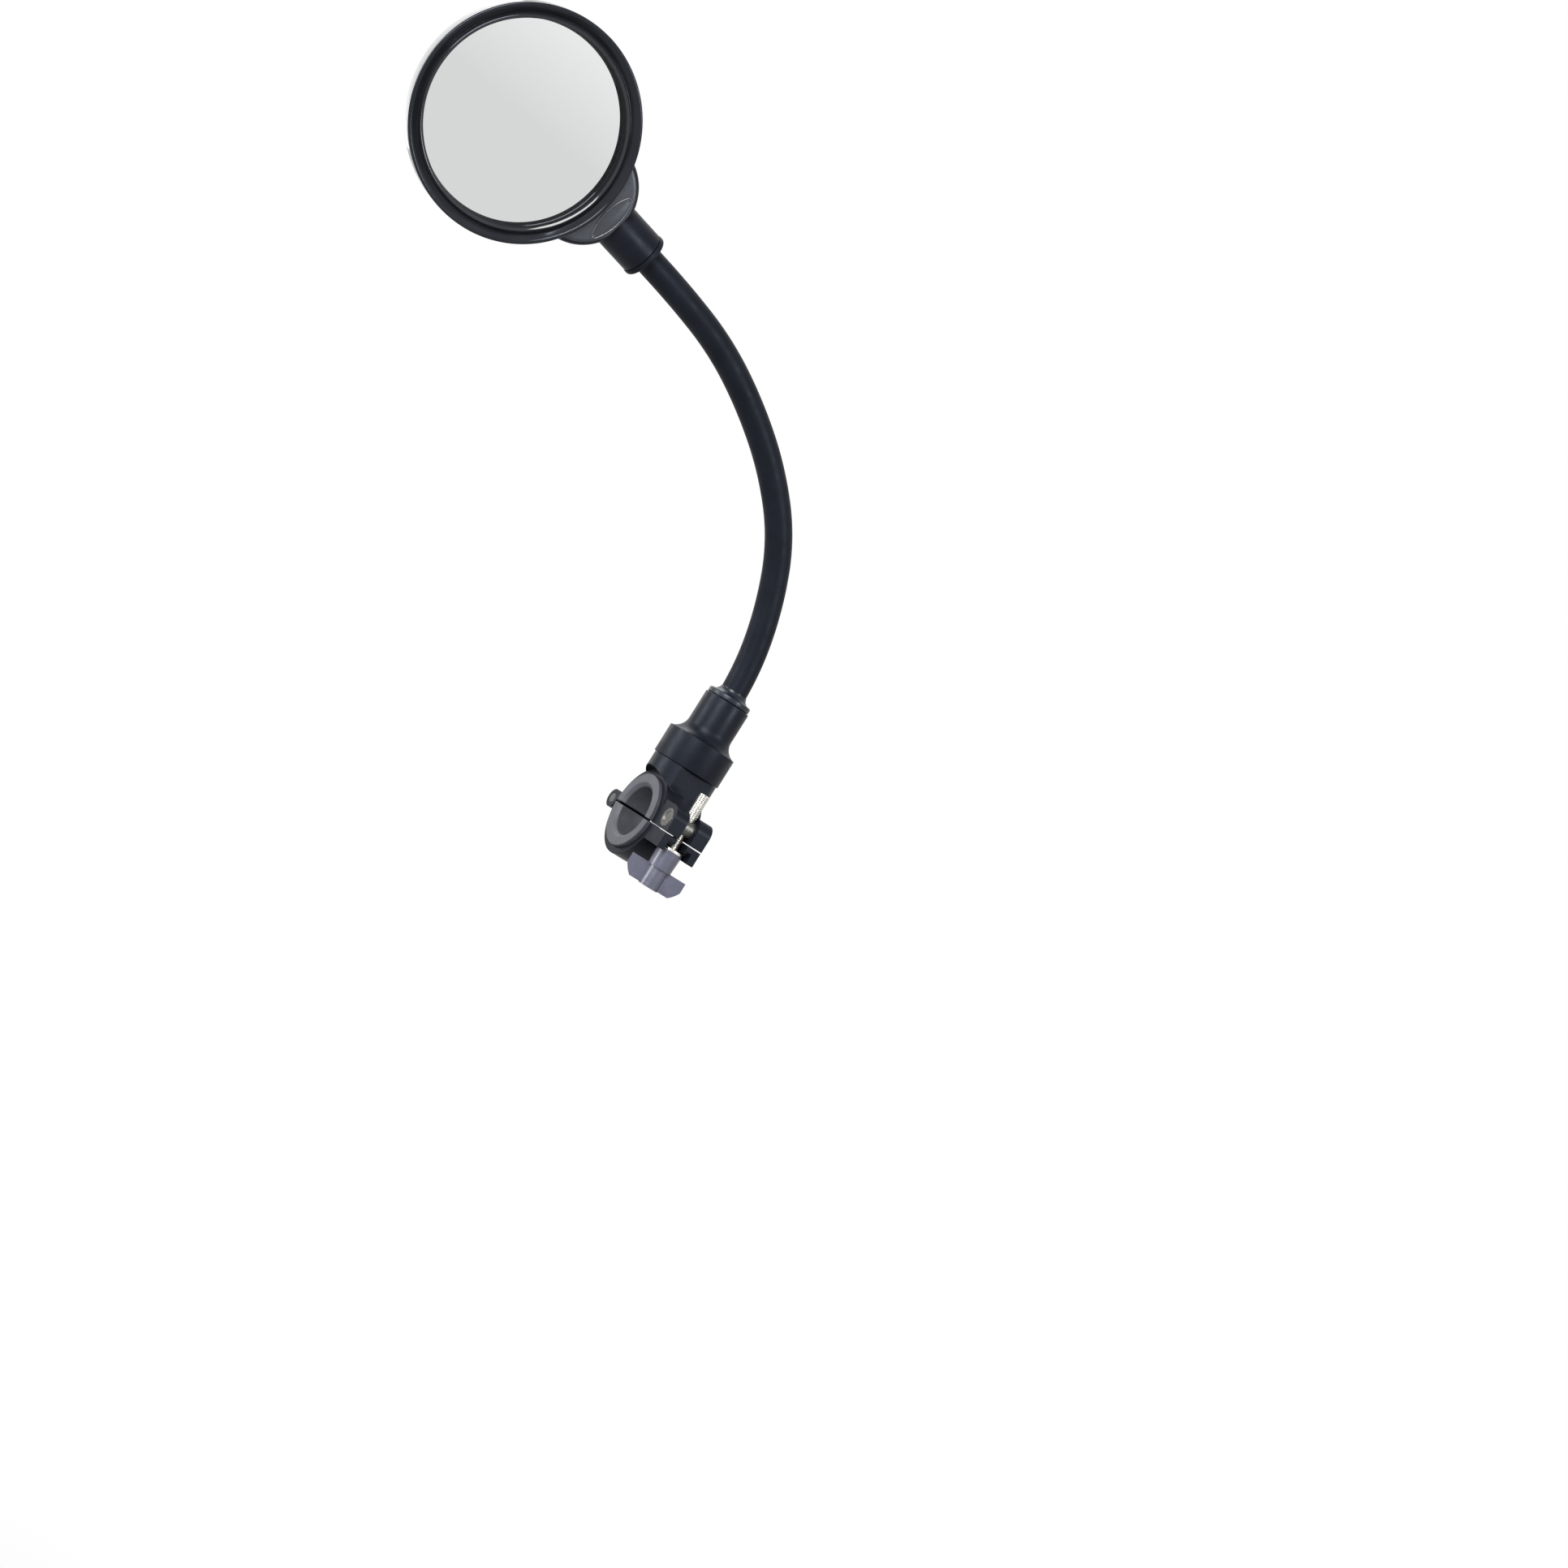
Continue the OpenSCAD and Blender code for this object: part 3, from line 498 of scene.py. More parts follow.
class TreeMaker:
    """A Geometry Nodes tree with named inputs."""

    def __init__(self, name, inputs):
        self.tree = bpy.data.node_groups.new(name, "GeometryNodeTree")
        interface = self.tree.interface
        interface.new_socket("Geometry", in_out="INPUT", socket_type="NodeSocketGeometry")
        self.sockets = {n: interface.new_socket(n, in_out="INPUT", socket_type=k) for n, k in inputs.items()}
        interface.new_socket("Geometry", in_out="OUTPUT", socket_type="NodeSocketGeometry")
        self.given = self.tree.nodes.new("NodeGroupInput")
        self.result = self.tree.nodes.new("NodeGroupOutput")

    def node(self, kind, links=None, **options):
        """A node of this tree."""
        return add_node(self.tree, kind, links, **options)

    def maths(self, operation, *values):
        """The result of one step of arithmetic."""
        return self.node("ShaderNodeMath", dict(enumerate(values)), operation=operation).outputs[0]

    def finish(self, geometry):
        """Ends the tree in plain geometry with its finish."""
        plain = self.node("GeometryNodeRealizeInstances", {0: geometry})
        painted = self.node(
            "GeometryNodeSetMaterial", {0: plain.outputs[0], "Material": self.given.outputs["Material"]}
        )
        self.tree.links.new(painted.outputs[0], self.result.inputs[0])
        return self

    def apply(self, piece, **values):
        """Runs the tree on a piece and keeps its result as a plain mesh."""
        modifier = piece.modifiers.new(self.tree.name, "NODES")
        modifier.node_group = self.tree
        for name, value in values.items():
            modifier[self.sockets[name].identifier] = value
        return settle(piece)


def sweep_tree():
    """A round section that follows the piece's own route."""
    make = TreeMaker(
        "Round sweep",
        {"Radius": "NodeSocketFloat", "Sides": "NodeSocketInt", "Material": "NodeSocketMaterial"},
    )
    route = make.node("GeometryNodeMeshToCurve", {0: make.given.outputs["Geometry"]})
    section = make.node(
        "GeometryNodeCurvePrimitiveCircle",
        {"Resolution": make.given.outputs["Sides"], "Radius": make.given.outputs["Radius"]},
    )
    tube = make.node(
        "GeometryNodeCurveToMesh", {"Curve": route.outputs[0], "Profile Curve": section.outputs[0]}
    )
    return make.finish(tube.outputs[0])


def thread_surface(make, round_share, height, weld):
    """Distance of the thread's surface from the axis, with chamfered ends that close on the axis."""
    given = make.given.outputs
    turns = make.maths("DIVIDE", height, given["Pitch"])
    phase = make.maths("FRACT", make.maths("SUBTRACT", turns, round_share))
    ridge = make.maths("ABSOLUTE", make.maths("SUBTRACT", make.maths("MULTIPLY", phase, 2.0), 1.0))
    root_end, crest_start = 0.1, 0.9
    flanks = {0: ridge, 1: root_end, 2: crest_start, 3: 0.0, 4: 1.0}
    crest = make.node("ShaderNodeMapRange", flanks, clamp=True)
    root = make.maths("SUBTRACT", given["Radius"], given["Depth"])
    wave = make.maths("ADD", root, make.maths("MULTIPLY", crest.outputs[0], given["Depth"]))
    to_end = make.maths("MINIMUM", height, make.maths("SUBTRACT", given["Length"], height))
    cone = make.maths("ADD", make.maths("SUBTRACT", given["Radius"], given["Chamfer"]), to_end)
    inside = make.maths("GREATER_THAN", to_end, weld)
    return make.maths("MULTIPLY", make.maths("MINIMUM", wave, cone), inside)


def thread_tree():
    """A rod whose surface rises and falls along a screw line, with chamfered ends."""
    make = TreeMaker(
        "Threaded rod",
        {
            "Radius": "NodeSocketFloat",
            "Pitch": "NodeSocketFloat",
            "Depth": "NodeSocketFloat",
            "Length": "NodeSocketFloat",
            "Chamfer": "NodeSocketFloat",
            "Rows": "NodeSocketInt",
            "Sides": "NodeSocketInt",
            "Material": "NodeSocketMaterial",
        },
    )
    given = make.given.outputs
    grid = make.node(
        "GeometryNodeMeshGrid",
        {"Size X": 1.0, "Size Y": 1.0, "Vertices X": given["Sides"], "Vertices Y": given["Rows"]},
    )
    spot = make.node("ShaderNodeSeparateXYZ", {0: make.node("GeometryNodeInputPosition").outputs[0]})
    round_share = make.maths("ADD", spot.outputs[0], 0.5)
    along_share = make.maths("ADD", spot.outputs[1], 0.5)
    angle = make.maths("MULTIPLY", round_share, 2 * math.pi)
    height = make.maths("MULTIPLY", along_share, given["Length"])
    weld = 1e-6
    reach = thread_surface(make, round_share, height, weld)
    place = make.node(
        "ShaderNodeCombineXYZ",
        {
            0: make.maths("MULTIPLY", reach, make.maths("COSINE", angle)),
            1: make.maths("MULTIPLY", reach, make.maths("SINE", angle)),
            2: height,
        },
    )
    rod = make.node("GeometryNodeSetPosition", {0: grid.outputs[0], "Position": place.outputs[0]})
    closed = make.node("GeometryNodeMergeByDistance", {0: rod.outputs[0], "Distance": weld})
    return make.finish(closed.outputs[0])


def route_piece(name, points, closed=False):
    """A piece that holds only a route."""
    mesh = bpy.data.meshes.new(name)
    edges = [(k, k + 1) for k in range(len(points) - 1)]
    if closed:
        edges.append((len(points) - 1, 0))
    mesh.from_pydata(points, edges, [])
    return new_piece(name, mesh)


# Finishes


class FinishMaker:
    """A material on a Principled shader, patterned on Object coordinates."""

    def __init__(self, name):
        self.material = bpy.data.materials.new(name)
        self.material.use_nodes = True
        self.tree = self.material.node_tree
        self.tree.nodes.clear()
        self.output = self.tree.nodes.new("ShaderNodeOutputMaterial")
        self.shader = self.tree.nodes.new("ShaderNodeBsdfPrincipled")
        self.tree.links.new(self.shader.outputs[0], self.output.inputs[0])
        self.spot = self.tree.nodes.new("ShaderNodeTexCoord").outputs["Object"]
        self.normal = None

    def node(self, kind, links=None, **options):
        """A node of this material."""
        return add_node(self.tree, kind, links, **options)

    def noise(self, size, detail, stretch=None):
        """Noise whose blotches measure about the given size in metres."""
        spot = self.spot
        if stretch:
            spot = self.node("ShaderNodeMapping", {0: spot, "Scale": stretch}).outputs[0]
        return self.node("ShaderNodeTexNoise", {0: spot, "Scale": 1.0 / size, "Detail": detail}).outputs[0]

    def cells(self, size):
        """Distance to the centres of random cells of about the given size in metres."""
        made = self.node("ShaderNodeTexVoronoi", {0: self.spot, "Scale": 1.0 / size, "Randomness": 1.0})
        return made.outputs["Distance"]

    def spread(self, value, low, high, start=0.3, end=0.7):
        """A pattern's values from start to end, brought to the range from low to high."""
        return self.node("ShaderNodeMapRange", {0: value, 1: start, 2: end, 3: low, 4: high}).outputs[0]

    def set(self, **values):
        """Constant values straight on the shader's sockets."""
        for key, value in values.items():
            self.shader.inputs[key.replace("_", " ")].default_value = value
        return self

    def specular(self, level, tint=WHITE):
        """Strength and colour of the reflection at the surface."""
        self.shader.inputs["Specular IOR Level"].default_value = level
        self.shader.inputs["Specular Tint"].default_value = (*tint, 1.0)
        return self

    def colour(self, value, dark, light, start=0.3, end=0.7):
        """Base colour between two colours."""
        share = self.spread(value, 0.0, 1.0, start, end)
        mix = self.node("ShaderNodeMix", {0: share, 6: (*dark, 1.0), 7: (*light, 1.0)}, data_type="RGBA")
        self.tree.links.new(mix.outputs[2], self.shader.inputs["Base Color"])
        return self

    def tones(self, value, base, dark, light, **span):
        """Base colour between a darker and a lighter tone of one colour."""
        return self.colour(value, shade(base, dark), shade(base, light), **span)

    def roughness(self, value, low, high):
        """Roughness between two values."""
        self.tree.links.new(self.spread(value, low, high), self.shader.inputs["Roughness"])
        return self

    def relief(self, value, depth):
        """Adds a bump of the given depth in metres."""
        links = {"Height": value, "Strength": 1.0, "Distance": depth}
        if self.normal:
            links["Normal"] = self.normal
        self.normal = self.node("ShaderNodeBump", links).outputs[0]
        self.tree.links.new(self.normal, self.shader.inputs["Normal"])
        return self


def shade(colour, factor):
    """A lighter or darker tone of a colour."""
    return tuple(min(1.0, c * factor) for c in colour)


def satin_black(look):
    """Moulded plastic of the clamp, collar and socket."""
    made = FinishMaker("satin_black")
    made.tones(made.noise(size=0.009, detail=4.0), look.satin, dark=0.8, light=1.25)
    made.roughness(made.noise(size=0.004, detail=5.0), low=0.34, high=0.46)
    made.specular(0.11, COOL)
    made.relief(made.noise(size=0.0007, detail=3.0), depth=0.000012)
    return made.material


def grained_black(look):
    """Pebbled plastic of the shoulder and its oval."""
    made = FinishMaker("grained_black")
    pebble = made.cells(size=0.0002)
    made.tones(pebble, look.grained, dark=1.5, light=0.7, start=0.1, end=0.7)
    made.roughness(made.noise(size=0.003, detail=4.0), low=0.36, high=0.46)
    made.specular(0.5, COOL)
    made.relief(pebble, depth=0.000016)
    made.relief(made.noise(size=0.0002, detail=2.0), depth=0.000006)
    return made.material


def glossy(name, look, low, high):
    """Polished black plastic, before its reflection and relief."""
    made = FinishMaker(name)
    made.tones(made.noise(size=0.02, detail=3.0), look.gloss, dark=0.8, light=1.2)
    return made.roughness(made.noise(size=0.006, detail=6.0), low, high)


def polished_black(look):
    """Polished plastic of the rim."""
    made = glossy("polished_black", look, low=0.07, high=0.13)
    made.specular(0.13, COOL)
    made.relief(made.noise(size=0.004, detail=2.0), depth=0.00001)
    return made.material


def bright_black(look):
    """Polished plastic of the rim's inner bead."""
    return glossy("bright_black", look, low=0.06, high=0.1).specular(0.34).material


def lacquered_black(look):
    """Polished wall of the shell's dish."""
    made = glossy("lacquered_black", look, low=0.06, high=0.12)
    made.specular(0.6)
    made.relief(made.noise(size=0.004, detail=2.0), depth=0.000002)
    return made.material


def deep_black(look):
    """Darker, duller black of the rim's inner wall, painted shade in the recess over the glass."""
    made = FinishMaker("deep_black")
    made.tones(made.noise(size=0.01, detail=3.0), look.gloss, dark=0.3, light=0.5)
    made.roughness(made.noise(size=0.004, detail=3.0), low=0.4, high=0.5)
    made.specular(0.02)
    return made.material


def matt_rubber(look):
    """Rubber of the sleeve and its upper cap."""
    made = FinishMaker("matt_rubber")
    made.tones(made.noise(size=0.012, detail=5.0), look.rubber, dark=0.8, light=1.3)
    made.roughness(made.noise(size=0.005, detail=5.0), low=0.42, high=0.56)
    made.specular(0.09, COOL)
    made.relief(made.noise(size=0.0009, detail=4.0), depth=0.00002)
    return made.material


def smooth_rubber(look):
    """Smoother rubber of the lower cap."""
    made = FinishMaker("smooth_rubber")
    made.tones(made.noise(size=0.012, detail=5.0), look.rubber, dark=0.9, light=1.4)
    made.roughness(made.noise(size=0.005, detail=5.0), low=0.3, high=0.4)
    made.specular(0.3, COOL)
    made.relief(made.noise(size=0.0009, detail=4.0), depth=0.00001)
    return made.material


def shim_grey(look):
    """Elastic grey of the shims."""
    made = FinishMaker("shim_grey")
    made.tones(made.noise(size=0.006, detail=4.0), look.shim, dark=0.85, light=1.2)
    made.roughness(made.noise(size=0.003, detail=4.0), low=0.5, high=0.62)
    made.specular(0.4)
    made.relief(made.noise(size=0.0005, detail=3.0), depth=0.00002)
    return made.material


def bead_grey(look):
    """Light grey painted on the black bead round the oval, as a painted highlight."""
    made = FinishMaker("bead_grey")
    made.tones(made.noise(size=0.004, detail=3.0), look.shim, dark=1.1, light=1.6)
    made.roughness(made.noise(size=0.002, detail=3.0), low=0.26, high=0.38)
    made.specular(0.8)
    return made.material


def knob_grey(look):
    """Purple grey plastic of the knob."""
    made = FinishMaker("knob_grey")
    made.tones(made.noise(size=0.005, detail=4.0), look.knob, dark=0.88, light=1.15)
    made.roughness(made.noise(size=0.003, detail=4.0), low=0.22, high=0.34)
    made.specular(0.5)
    made.relief(made.noise(size=0.0008, detail=3.0), depth=0.000015)
    return made.material


def plated_steel(look):
    """Bright plated steel of the bolt, washers, screws and links."""
    made = FinishMaker("plated_steel")
    made.tones(made.noise(size=0.003, detail=5.0), look.steel, dark=0.85, light=1.1)
    made.roughness(made.noise(size=0.0012, detail=5.0, stretch=(1.0, 1.0, 4.0)), low=0.2, high=0.36)
    made.set(Metallic=1.0)
    made.relief(made.noise(size=0.0004, detail=3.0), depth=0.000008)
    return made.material


def burnished_steel(look):
    """Darker copy of the plated steel for the pin's and the trunnion's faces; on the trunnion's middle
    between the ears this darkness is painted shade.
    """
    made = FinishMaker("burnished_steel")
    made.tones(made.noise(size=0.0008, detail=5.0), look.steel, dark=0.1, light=0.22)
    made.roughness(made.noise(size=0.0006, detail=5.0), low=0.34, high=0.5)
    made.set(Metallic=1.0)
    made.relief(made.noise(size=0.0004, detail=4.0), depth=0.00003)
    return made.material


def silvered_glass(look):
    """Silvered glass, lighter towards one side of the head's face: the gradient is a painted reflection."""
    made = FinishMaker("silvered_glass")
    face = face_frame()
    painted_reflection_side = (face.to_3x3() @ Vector((0.99, 0.12, 0.0))).normalized()
    spot = made.node("ShaderNodeVectorMath", {0: made.spot, 1: face.translation}, operation="SUBTRACT")
    across = made.node("ShaderNodeVectorMath", {0: spot.outputs[0], 1: painted_reflection_side}, operation="DOT_PRODUCT")
    # Painted reflection: the base colour grows lighter towards that side of the face
    made.tones(across.outputs["Value"], look.silver, dark=0.92, light=1.115, start=0.002, end=0.038)
    made.roughness(made.noise(size=0.01, detail=4.0), low=0.012, high=0.03)
    return made.set(Metallic=1.0).material


def grey_foam(look):
    """Open foam of the pad behind the glass."""
    made = FinishMaker("grey_foam")
    pores = made.cells(size=0.0008)
    made.tones(pores, look.foam, dark=0.7, light=1.2, start=0.0, end=0.8)
    made.roughness(made.noise(size=0.002, detail=3.0), low=0.85, high=0.95)
    made.relief(pores, depth=0.0001)
    return made.material


FINISHES = (
    satin_black,
    grained_black,
    polished_black,
    bright_black,
    lacquered_black,
    deep_black,
    matt_rubber,
    smooth_rubber,
    shim_grey,
    bead_grey,
    knob_grey,
    plated_steel,
    burnished_steel,
    silvered_glass,
    grey_foam,
)
FINISH = {}


# The pieces


class BIKEMIRROR_OT_finishes(bpy.types.Operator):
    """Make the finishes and give them to the solids that stay as they are"""

    bl_idname = "bike_mirror.finishes"
    bl_label = "Finishes"
    bl_options = {"REGISTER", "UNDO"}
    kept = {
        "plated_steel": (
            "swivel_screw", "swivel_washer", "lower_ferrule", "upper_ferrule", "neck_screw", "neck_washer",
            *(f"link_{k + 1}" for k in range(LINKS)),
        ),
        "burnished_steel": ("hinge_pin",),
        "grey_foam": ("glass_pad",),
    }

    def execute(self, context):
        look = settings().finishes
        for finish in FINISHES:
            material = finish(look)
            FINISH[material.name] = material
        for finish, nodes in self.kept.items():
            for node in nodes:
                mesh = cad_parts[node].data
                mesh.materials.clear()
                mesh.materials.append(FINISH[finish])
        return {"FINISHED"}


class BIKEMIRROR_OT_glass(bpy.types.Operator):
    """Turn the convex glass"""

    bl_idname = "bike_mirror.glass"
    bl_label = "Glass"
    bl_options = {"REGISTER", "UNDO"}
    steps = 28

    def execute(self, context):
        head = settings().head
        radii = [(head.glass_radius - head.glass_ease) * k / self.steps for k in range(self.steps + 1)]
        front = [(r, glass_height(r)) for r in radii]
        back = [(r, glass_height(r, head.glass_depth)) for r in radii]
        edge = [
            (head.glass_radius, front[-1][1] - head.glass_ease),
            (head.glass_radius, back[-1][1] + head.glass_ease),
        ]
        outline = front + edge + back[::-1]
        piece = turned("mirror_glass_round", outline, face_frame(), FINISH["silvered_glass"], segments=160)
        hand_over(piece, "head", "mirror_glass", "mirror_glass")
        return {"FINISHED"}


class BIKEMIRROR_OT_shell(bpy.types.Operator):
    """Round the shell's edges, with a polished wall round the dish and a grained front on the shoulder"""

    bl_idname = "bike_mirror.shell"
    bl_label = "Back shell"
    bl_options = {"REGISTER", "UNDO"}

    # How near the head's radius a face of the dish's wall lies, and how far outwards it looks
    wall_band, wall_outward = 0.0012, 0.85

    # How far forwards a face of the shoulder's front looks; less forward faces on its rounded edges take the
    # darker satin black as painted shade
    front_forward = 0.88

    def execute(self, context):
        edge = settings().head.shell_edge
        piece = edge_rounded("back_shell_moulded", "back_shell", edge, FINISH["grained_black"])
        piece.data.materials.append(FINISH["lacquered_black"])
        piece.data.materials.append(FINISH["satin_black"])
        to_face = face_frame().inverted()
        for side in piece.data.polygons:
            spot = to_face @ side.center
            facing = to_face.to_3x3() @ side.normal
            outward = Vector((spot.x, spot.y, 0))
            outside = outward.length - head_radius()
            if abs(outside) < self.wall_band and facing.dot(outward.normalized()) > self.wall_outward:
                side.material_index = 1
            # Painted shade: the shoulder's rounded edges take the darker satin black
            elif outside < 0 or facing.z < self.front_forward:
                side.material_index = 2
        hand_over(piece, "head", "grained_plastic", "back_shell")
        return {"FINISHED"}


class BIKEMIRROR_OT_rim(bpy.types.Operator):
    """Turn the glossy rim: inner wall, bead, groove, slope, outer edge and skirt"""

    bl_idname = "bike_mirror.rim"
    bl_label = "Rim"
    bl_options = {"REGISTER", "UNDO"}

    # Angles in degrees at which the bead's shallow face starts and ends
    bead_start, bead_end = 134, 119

    # Where the bead's bright faces start over its centre and end outside the inner wall
    bright_rise, bright_reach = 0.00012, 0.001

    # The faces with the painted shade lie nearer to the inner wall than this, and farther above the glass
    shade_reach = 0.0002

    def execute(self, context):
        size = settings()
        head, rim = size.head, size.rim
        lip = head.glass_radius - rim.lap
        lip_z = glass_height(lip) + PLAY
        bead_z = head.seam + rim.rise - rim.bead_drop
        outline = self.section(head, rim, lip, lip_z, bead_z)
        piece = turned("bezel_rim", outline, face_frame(), FINISH["polished_black"], segments=192)
        self.paint(piece.data, lip, lip_z, bead_z)
        hand_over(piece, "head", "gloss_black", "bezel")
        return {"FINISHED"}

    def section(self, head, rim, lip, lip_z, bead_z):
        """The outline from the inner wall's foot over the bead, the groove and the edge to the skirt."""
        bead_x, crest = lip + rim.bead_radius, bead_z + rim.bead_radius
        groove = Vector((bead_x + rim.groove_set, bead_z - rim.groove_depth))
        inner = [(lip - rim.foot_width, lip_z), (lip, lip_z + rim.foot_height), (lip, bead_z)]
        face_x, face_z = bead_x + rim.bead_shift[0], bead_z + rim.bead_shift[1]
        inner += arc(face_x, face_z, rim.bead_sweep, self.bead_start, self.bead_end, steps=8)
        inner += [
            (lip + rim.bead_flat, crest, rim.ease / 2),
            (lip + rim.ridge, crest - rim.ridge_drop, rim.ease),
            (groove.x, groove.y, rim.ease),
        ]
        edge = self.edge(head, rim, groove)
        seam = head.seam + rim.seam_gap
        skirt = head_radius() - rim.skirt_inset
        inside = head.glass_radius + rim.skirt_gap
        outline = eased(inner + [edge[0]])[:-1] + edge
        outline += eased([
            edge[-1], (head_radius() - rim.ease, seam, rim.ease), (skirt, seam), (skirt, rim.skirt_foot),
            (inside, rim.skirt_foot), (inside, lip_z), inner[0],
        ])[1:-1]
        return outline

    def edge(self, head, rim, groove):
        """The wide rounding that the slope from the groove runs into, and the outer edge below it."""
        middle = Vector((head_radius() - rim.edge_radius, head.seam + rim.rise))
        wide = 2 * rim.edge_radius
        start = middle + (rim.edge_radius - wide) * Vector((math.cos(rim.edge_top), math.sin(rim.edge_top)))
        rise = start - groove
        slope = math.degrees(math.atan2(rise.y, rise.x) + math.asin(wide / rise.length))
        top, foot = math.degrees(rim.edge_top), math.degrees(rim.edge_foot)
        points = arc(start.x, start.y, wide, slope + 90, top, steps=8)
        return points + arc(middle.x, middle.y, rim.edge_radius, top, foot, steps=20)[1:]

    def paint(self, mesh, lip, lip_z, bead_z):
        """Gives the inner wall its darker, duller black, which is painted shade, and the bead its bright one.
        """
        # The darker black of the inner wall is painted shade
        mesh.materials.append(FINISH["deep_black"])
        mesh.materials.append(FINISH["bright_black"])
        to_face = face_frame().inverted()
        for side in mesh.polygons:
            spot = to_face @ side.center
            outside = math.hypot(spot.x, spot.y) - lip
            if outside < self.bright_reach and spot.z > bead_z + self.bright_rise:
                side.material_index = 2
            elif outside < self.shade_reach and spot.z > lip_z + self.shade_reach:
                side.material_index = 1


class BIKEMIRROR_OT_oval(bpy.types.Operator):
    """Build the bare oval with its raised bead on the shoulder"""

    bl_idname = "bike_mirror.oval"
    bl_label = "Oval cap"
    bl_options = {"REGISTER", "UNDO"}

    # Rings of the domed field, as shares of its outline
    field_rings = (0.85, 0.68, 0.5, 0.3, 0.12)
    bead_sides = 14

    def outline(self, oval, inset):
        """Points of a four-arc oval, moved inwards by an inset."""
        a, b, end = oval.half_length, oval.half_width, oval.end_radius
        flank = (a * a + b * b - 2 * a * end) / (2 * (b - end))
        x = a - end
        turn = math.degrees(math.atan2(flank - b, x))
        quarter = arc(x, 0, end - inset, 0, turn, steps=10)
        quarter += arc(0, b - flank, flank - inset, turn, 90, steps=24)[1:]
        half = quarter + [(-p, q) for p, q in quarter[-2::-1]]
        return half + [(p, -q) for p, q in half[-2:0:-1]]

    def execute(self, context):
        size = settings()
        oval, front = size.oval, size.head.shoulder_top
        centre_y = head_radius() + oval.land + oval.half_width
        place = face_frame() @ Matrix.Translation((0, -centre_y, 0))
        self.field(oval, front, place)
        self.bead(oval, front, place)
        return {"FINISHED"}

    def field(self, oval, front, place):
        """The cap with its border and its domed field."""
        rings = [
            (self.outline(oval, 0.0), front - oval.depth),
            (self.outline(oval, 0.0), front - oval.sink),
            (self.outline(oval, oval.border / 3), front + oval.sink),
        ]
        field = self.outline(oval, oval.border)
        for share in (1.0, *self.field_rings):
            ring = [(share * p, share * q) for p, q in field]
            rings.append((ring, front - oval.sink + oval.crown * (1 - share**2)))
        shape = bmesh.new()
        loops = [[shape.verts.new(place @ Vector((p, q, z))) for p, q in ring] for ring, z in rings]
        for low, high in zip(loops, loops[1:]):
            for k in range(len(low)):
                n = (k + 1) % len(low)
                shape.faces.new((low[k], low[n], high[n], high[k]))
        shape.faces.new(loops[-1])
        shape.faces.new(loops[0][::-1])
        piece = new_piece("oval_field", closed_mesh("oval_field", shape), FINISH["grained_black"])
        hand_over(piece, "head", "grained_plastic", "oval_cap")

    def bead(self, oval, front, place):
        """The thin bead along the border."""
        border = self.outline(oval, oval.border / 2)
        path = [place @ Vector((p, q, front + oval.sink / 2)) for p, q in border]
        bead = route_piece("oval_bead", path, closed=True)
        # The bead is black plastic; its light grey is a painted highlight
        sweep_tree().apply(bead, Radius=oval.bead_radius, Sides=self.bead_sides, Material=FINISH["bead_grey"])
        smooth(bead.data, angle=60.0)
        hand_over(bead, "head", "black_plastic")


class BIKEMIRROR_OT_neck(bpy.types.Operator):
    """Turn the neck socket and the rubber lip under it"""

    bl_idname = "bike_mirror.neck"
    bl_label = "Neck"
    bl_options = {"REGISTER", "UNDO"}

    def execute(self, context):
        size = settings()
        self.socket(size.neck)
        self.lip(size.neck, size.arm)
        return {"FINISHED"}

    def socket(self, neck):
        """The tube with its floor and the screw's bore."""
        r = neck.radius
        outline = eased([
            (r, neck.foot, neck.edge), (r, neck.top, neck.edge),
            (r - neck.top_wall, neck.top), (r - neck.top_wall, neck.floor_high),
            (neck.screw_bore, neck.floor_high), (neck.screw_bore, neck.floor_low),
            (r - neck.wall, neck.floor_low), (r - neck.wall, neck.foot),
        ])
        piece = turned("neck_socket_tube", outline, neck_frame(), FINISH["satin_black"])
        hand_over(piece, "head", "black_plastic", "neck_socket")

    def lip(self, neck, arm):
        """The rubber lip round the sleeve, under the socket."""
        bore, top = arm.sleeve_radius + PLAY, neck.lip_foot + arm.cap_depth
        outline = eased([
            (bore, neck.lip_foot), (arm.cap_radius, neck.lip_foot, neck.lip_round),
            (arm.cap_radius, top, neck.lip_edge), (bore, top),
        ], steps=8)
        piece = turned("neck_lip", outline, neck_frame(), FINISH["matt_rubber"])
        hand_over(piece, "arm_end", "black_rubber", "upper_arm_cap")


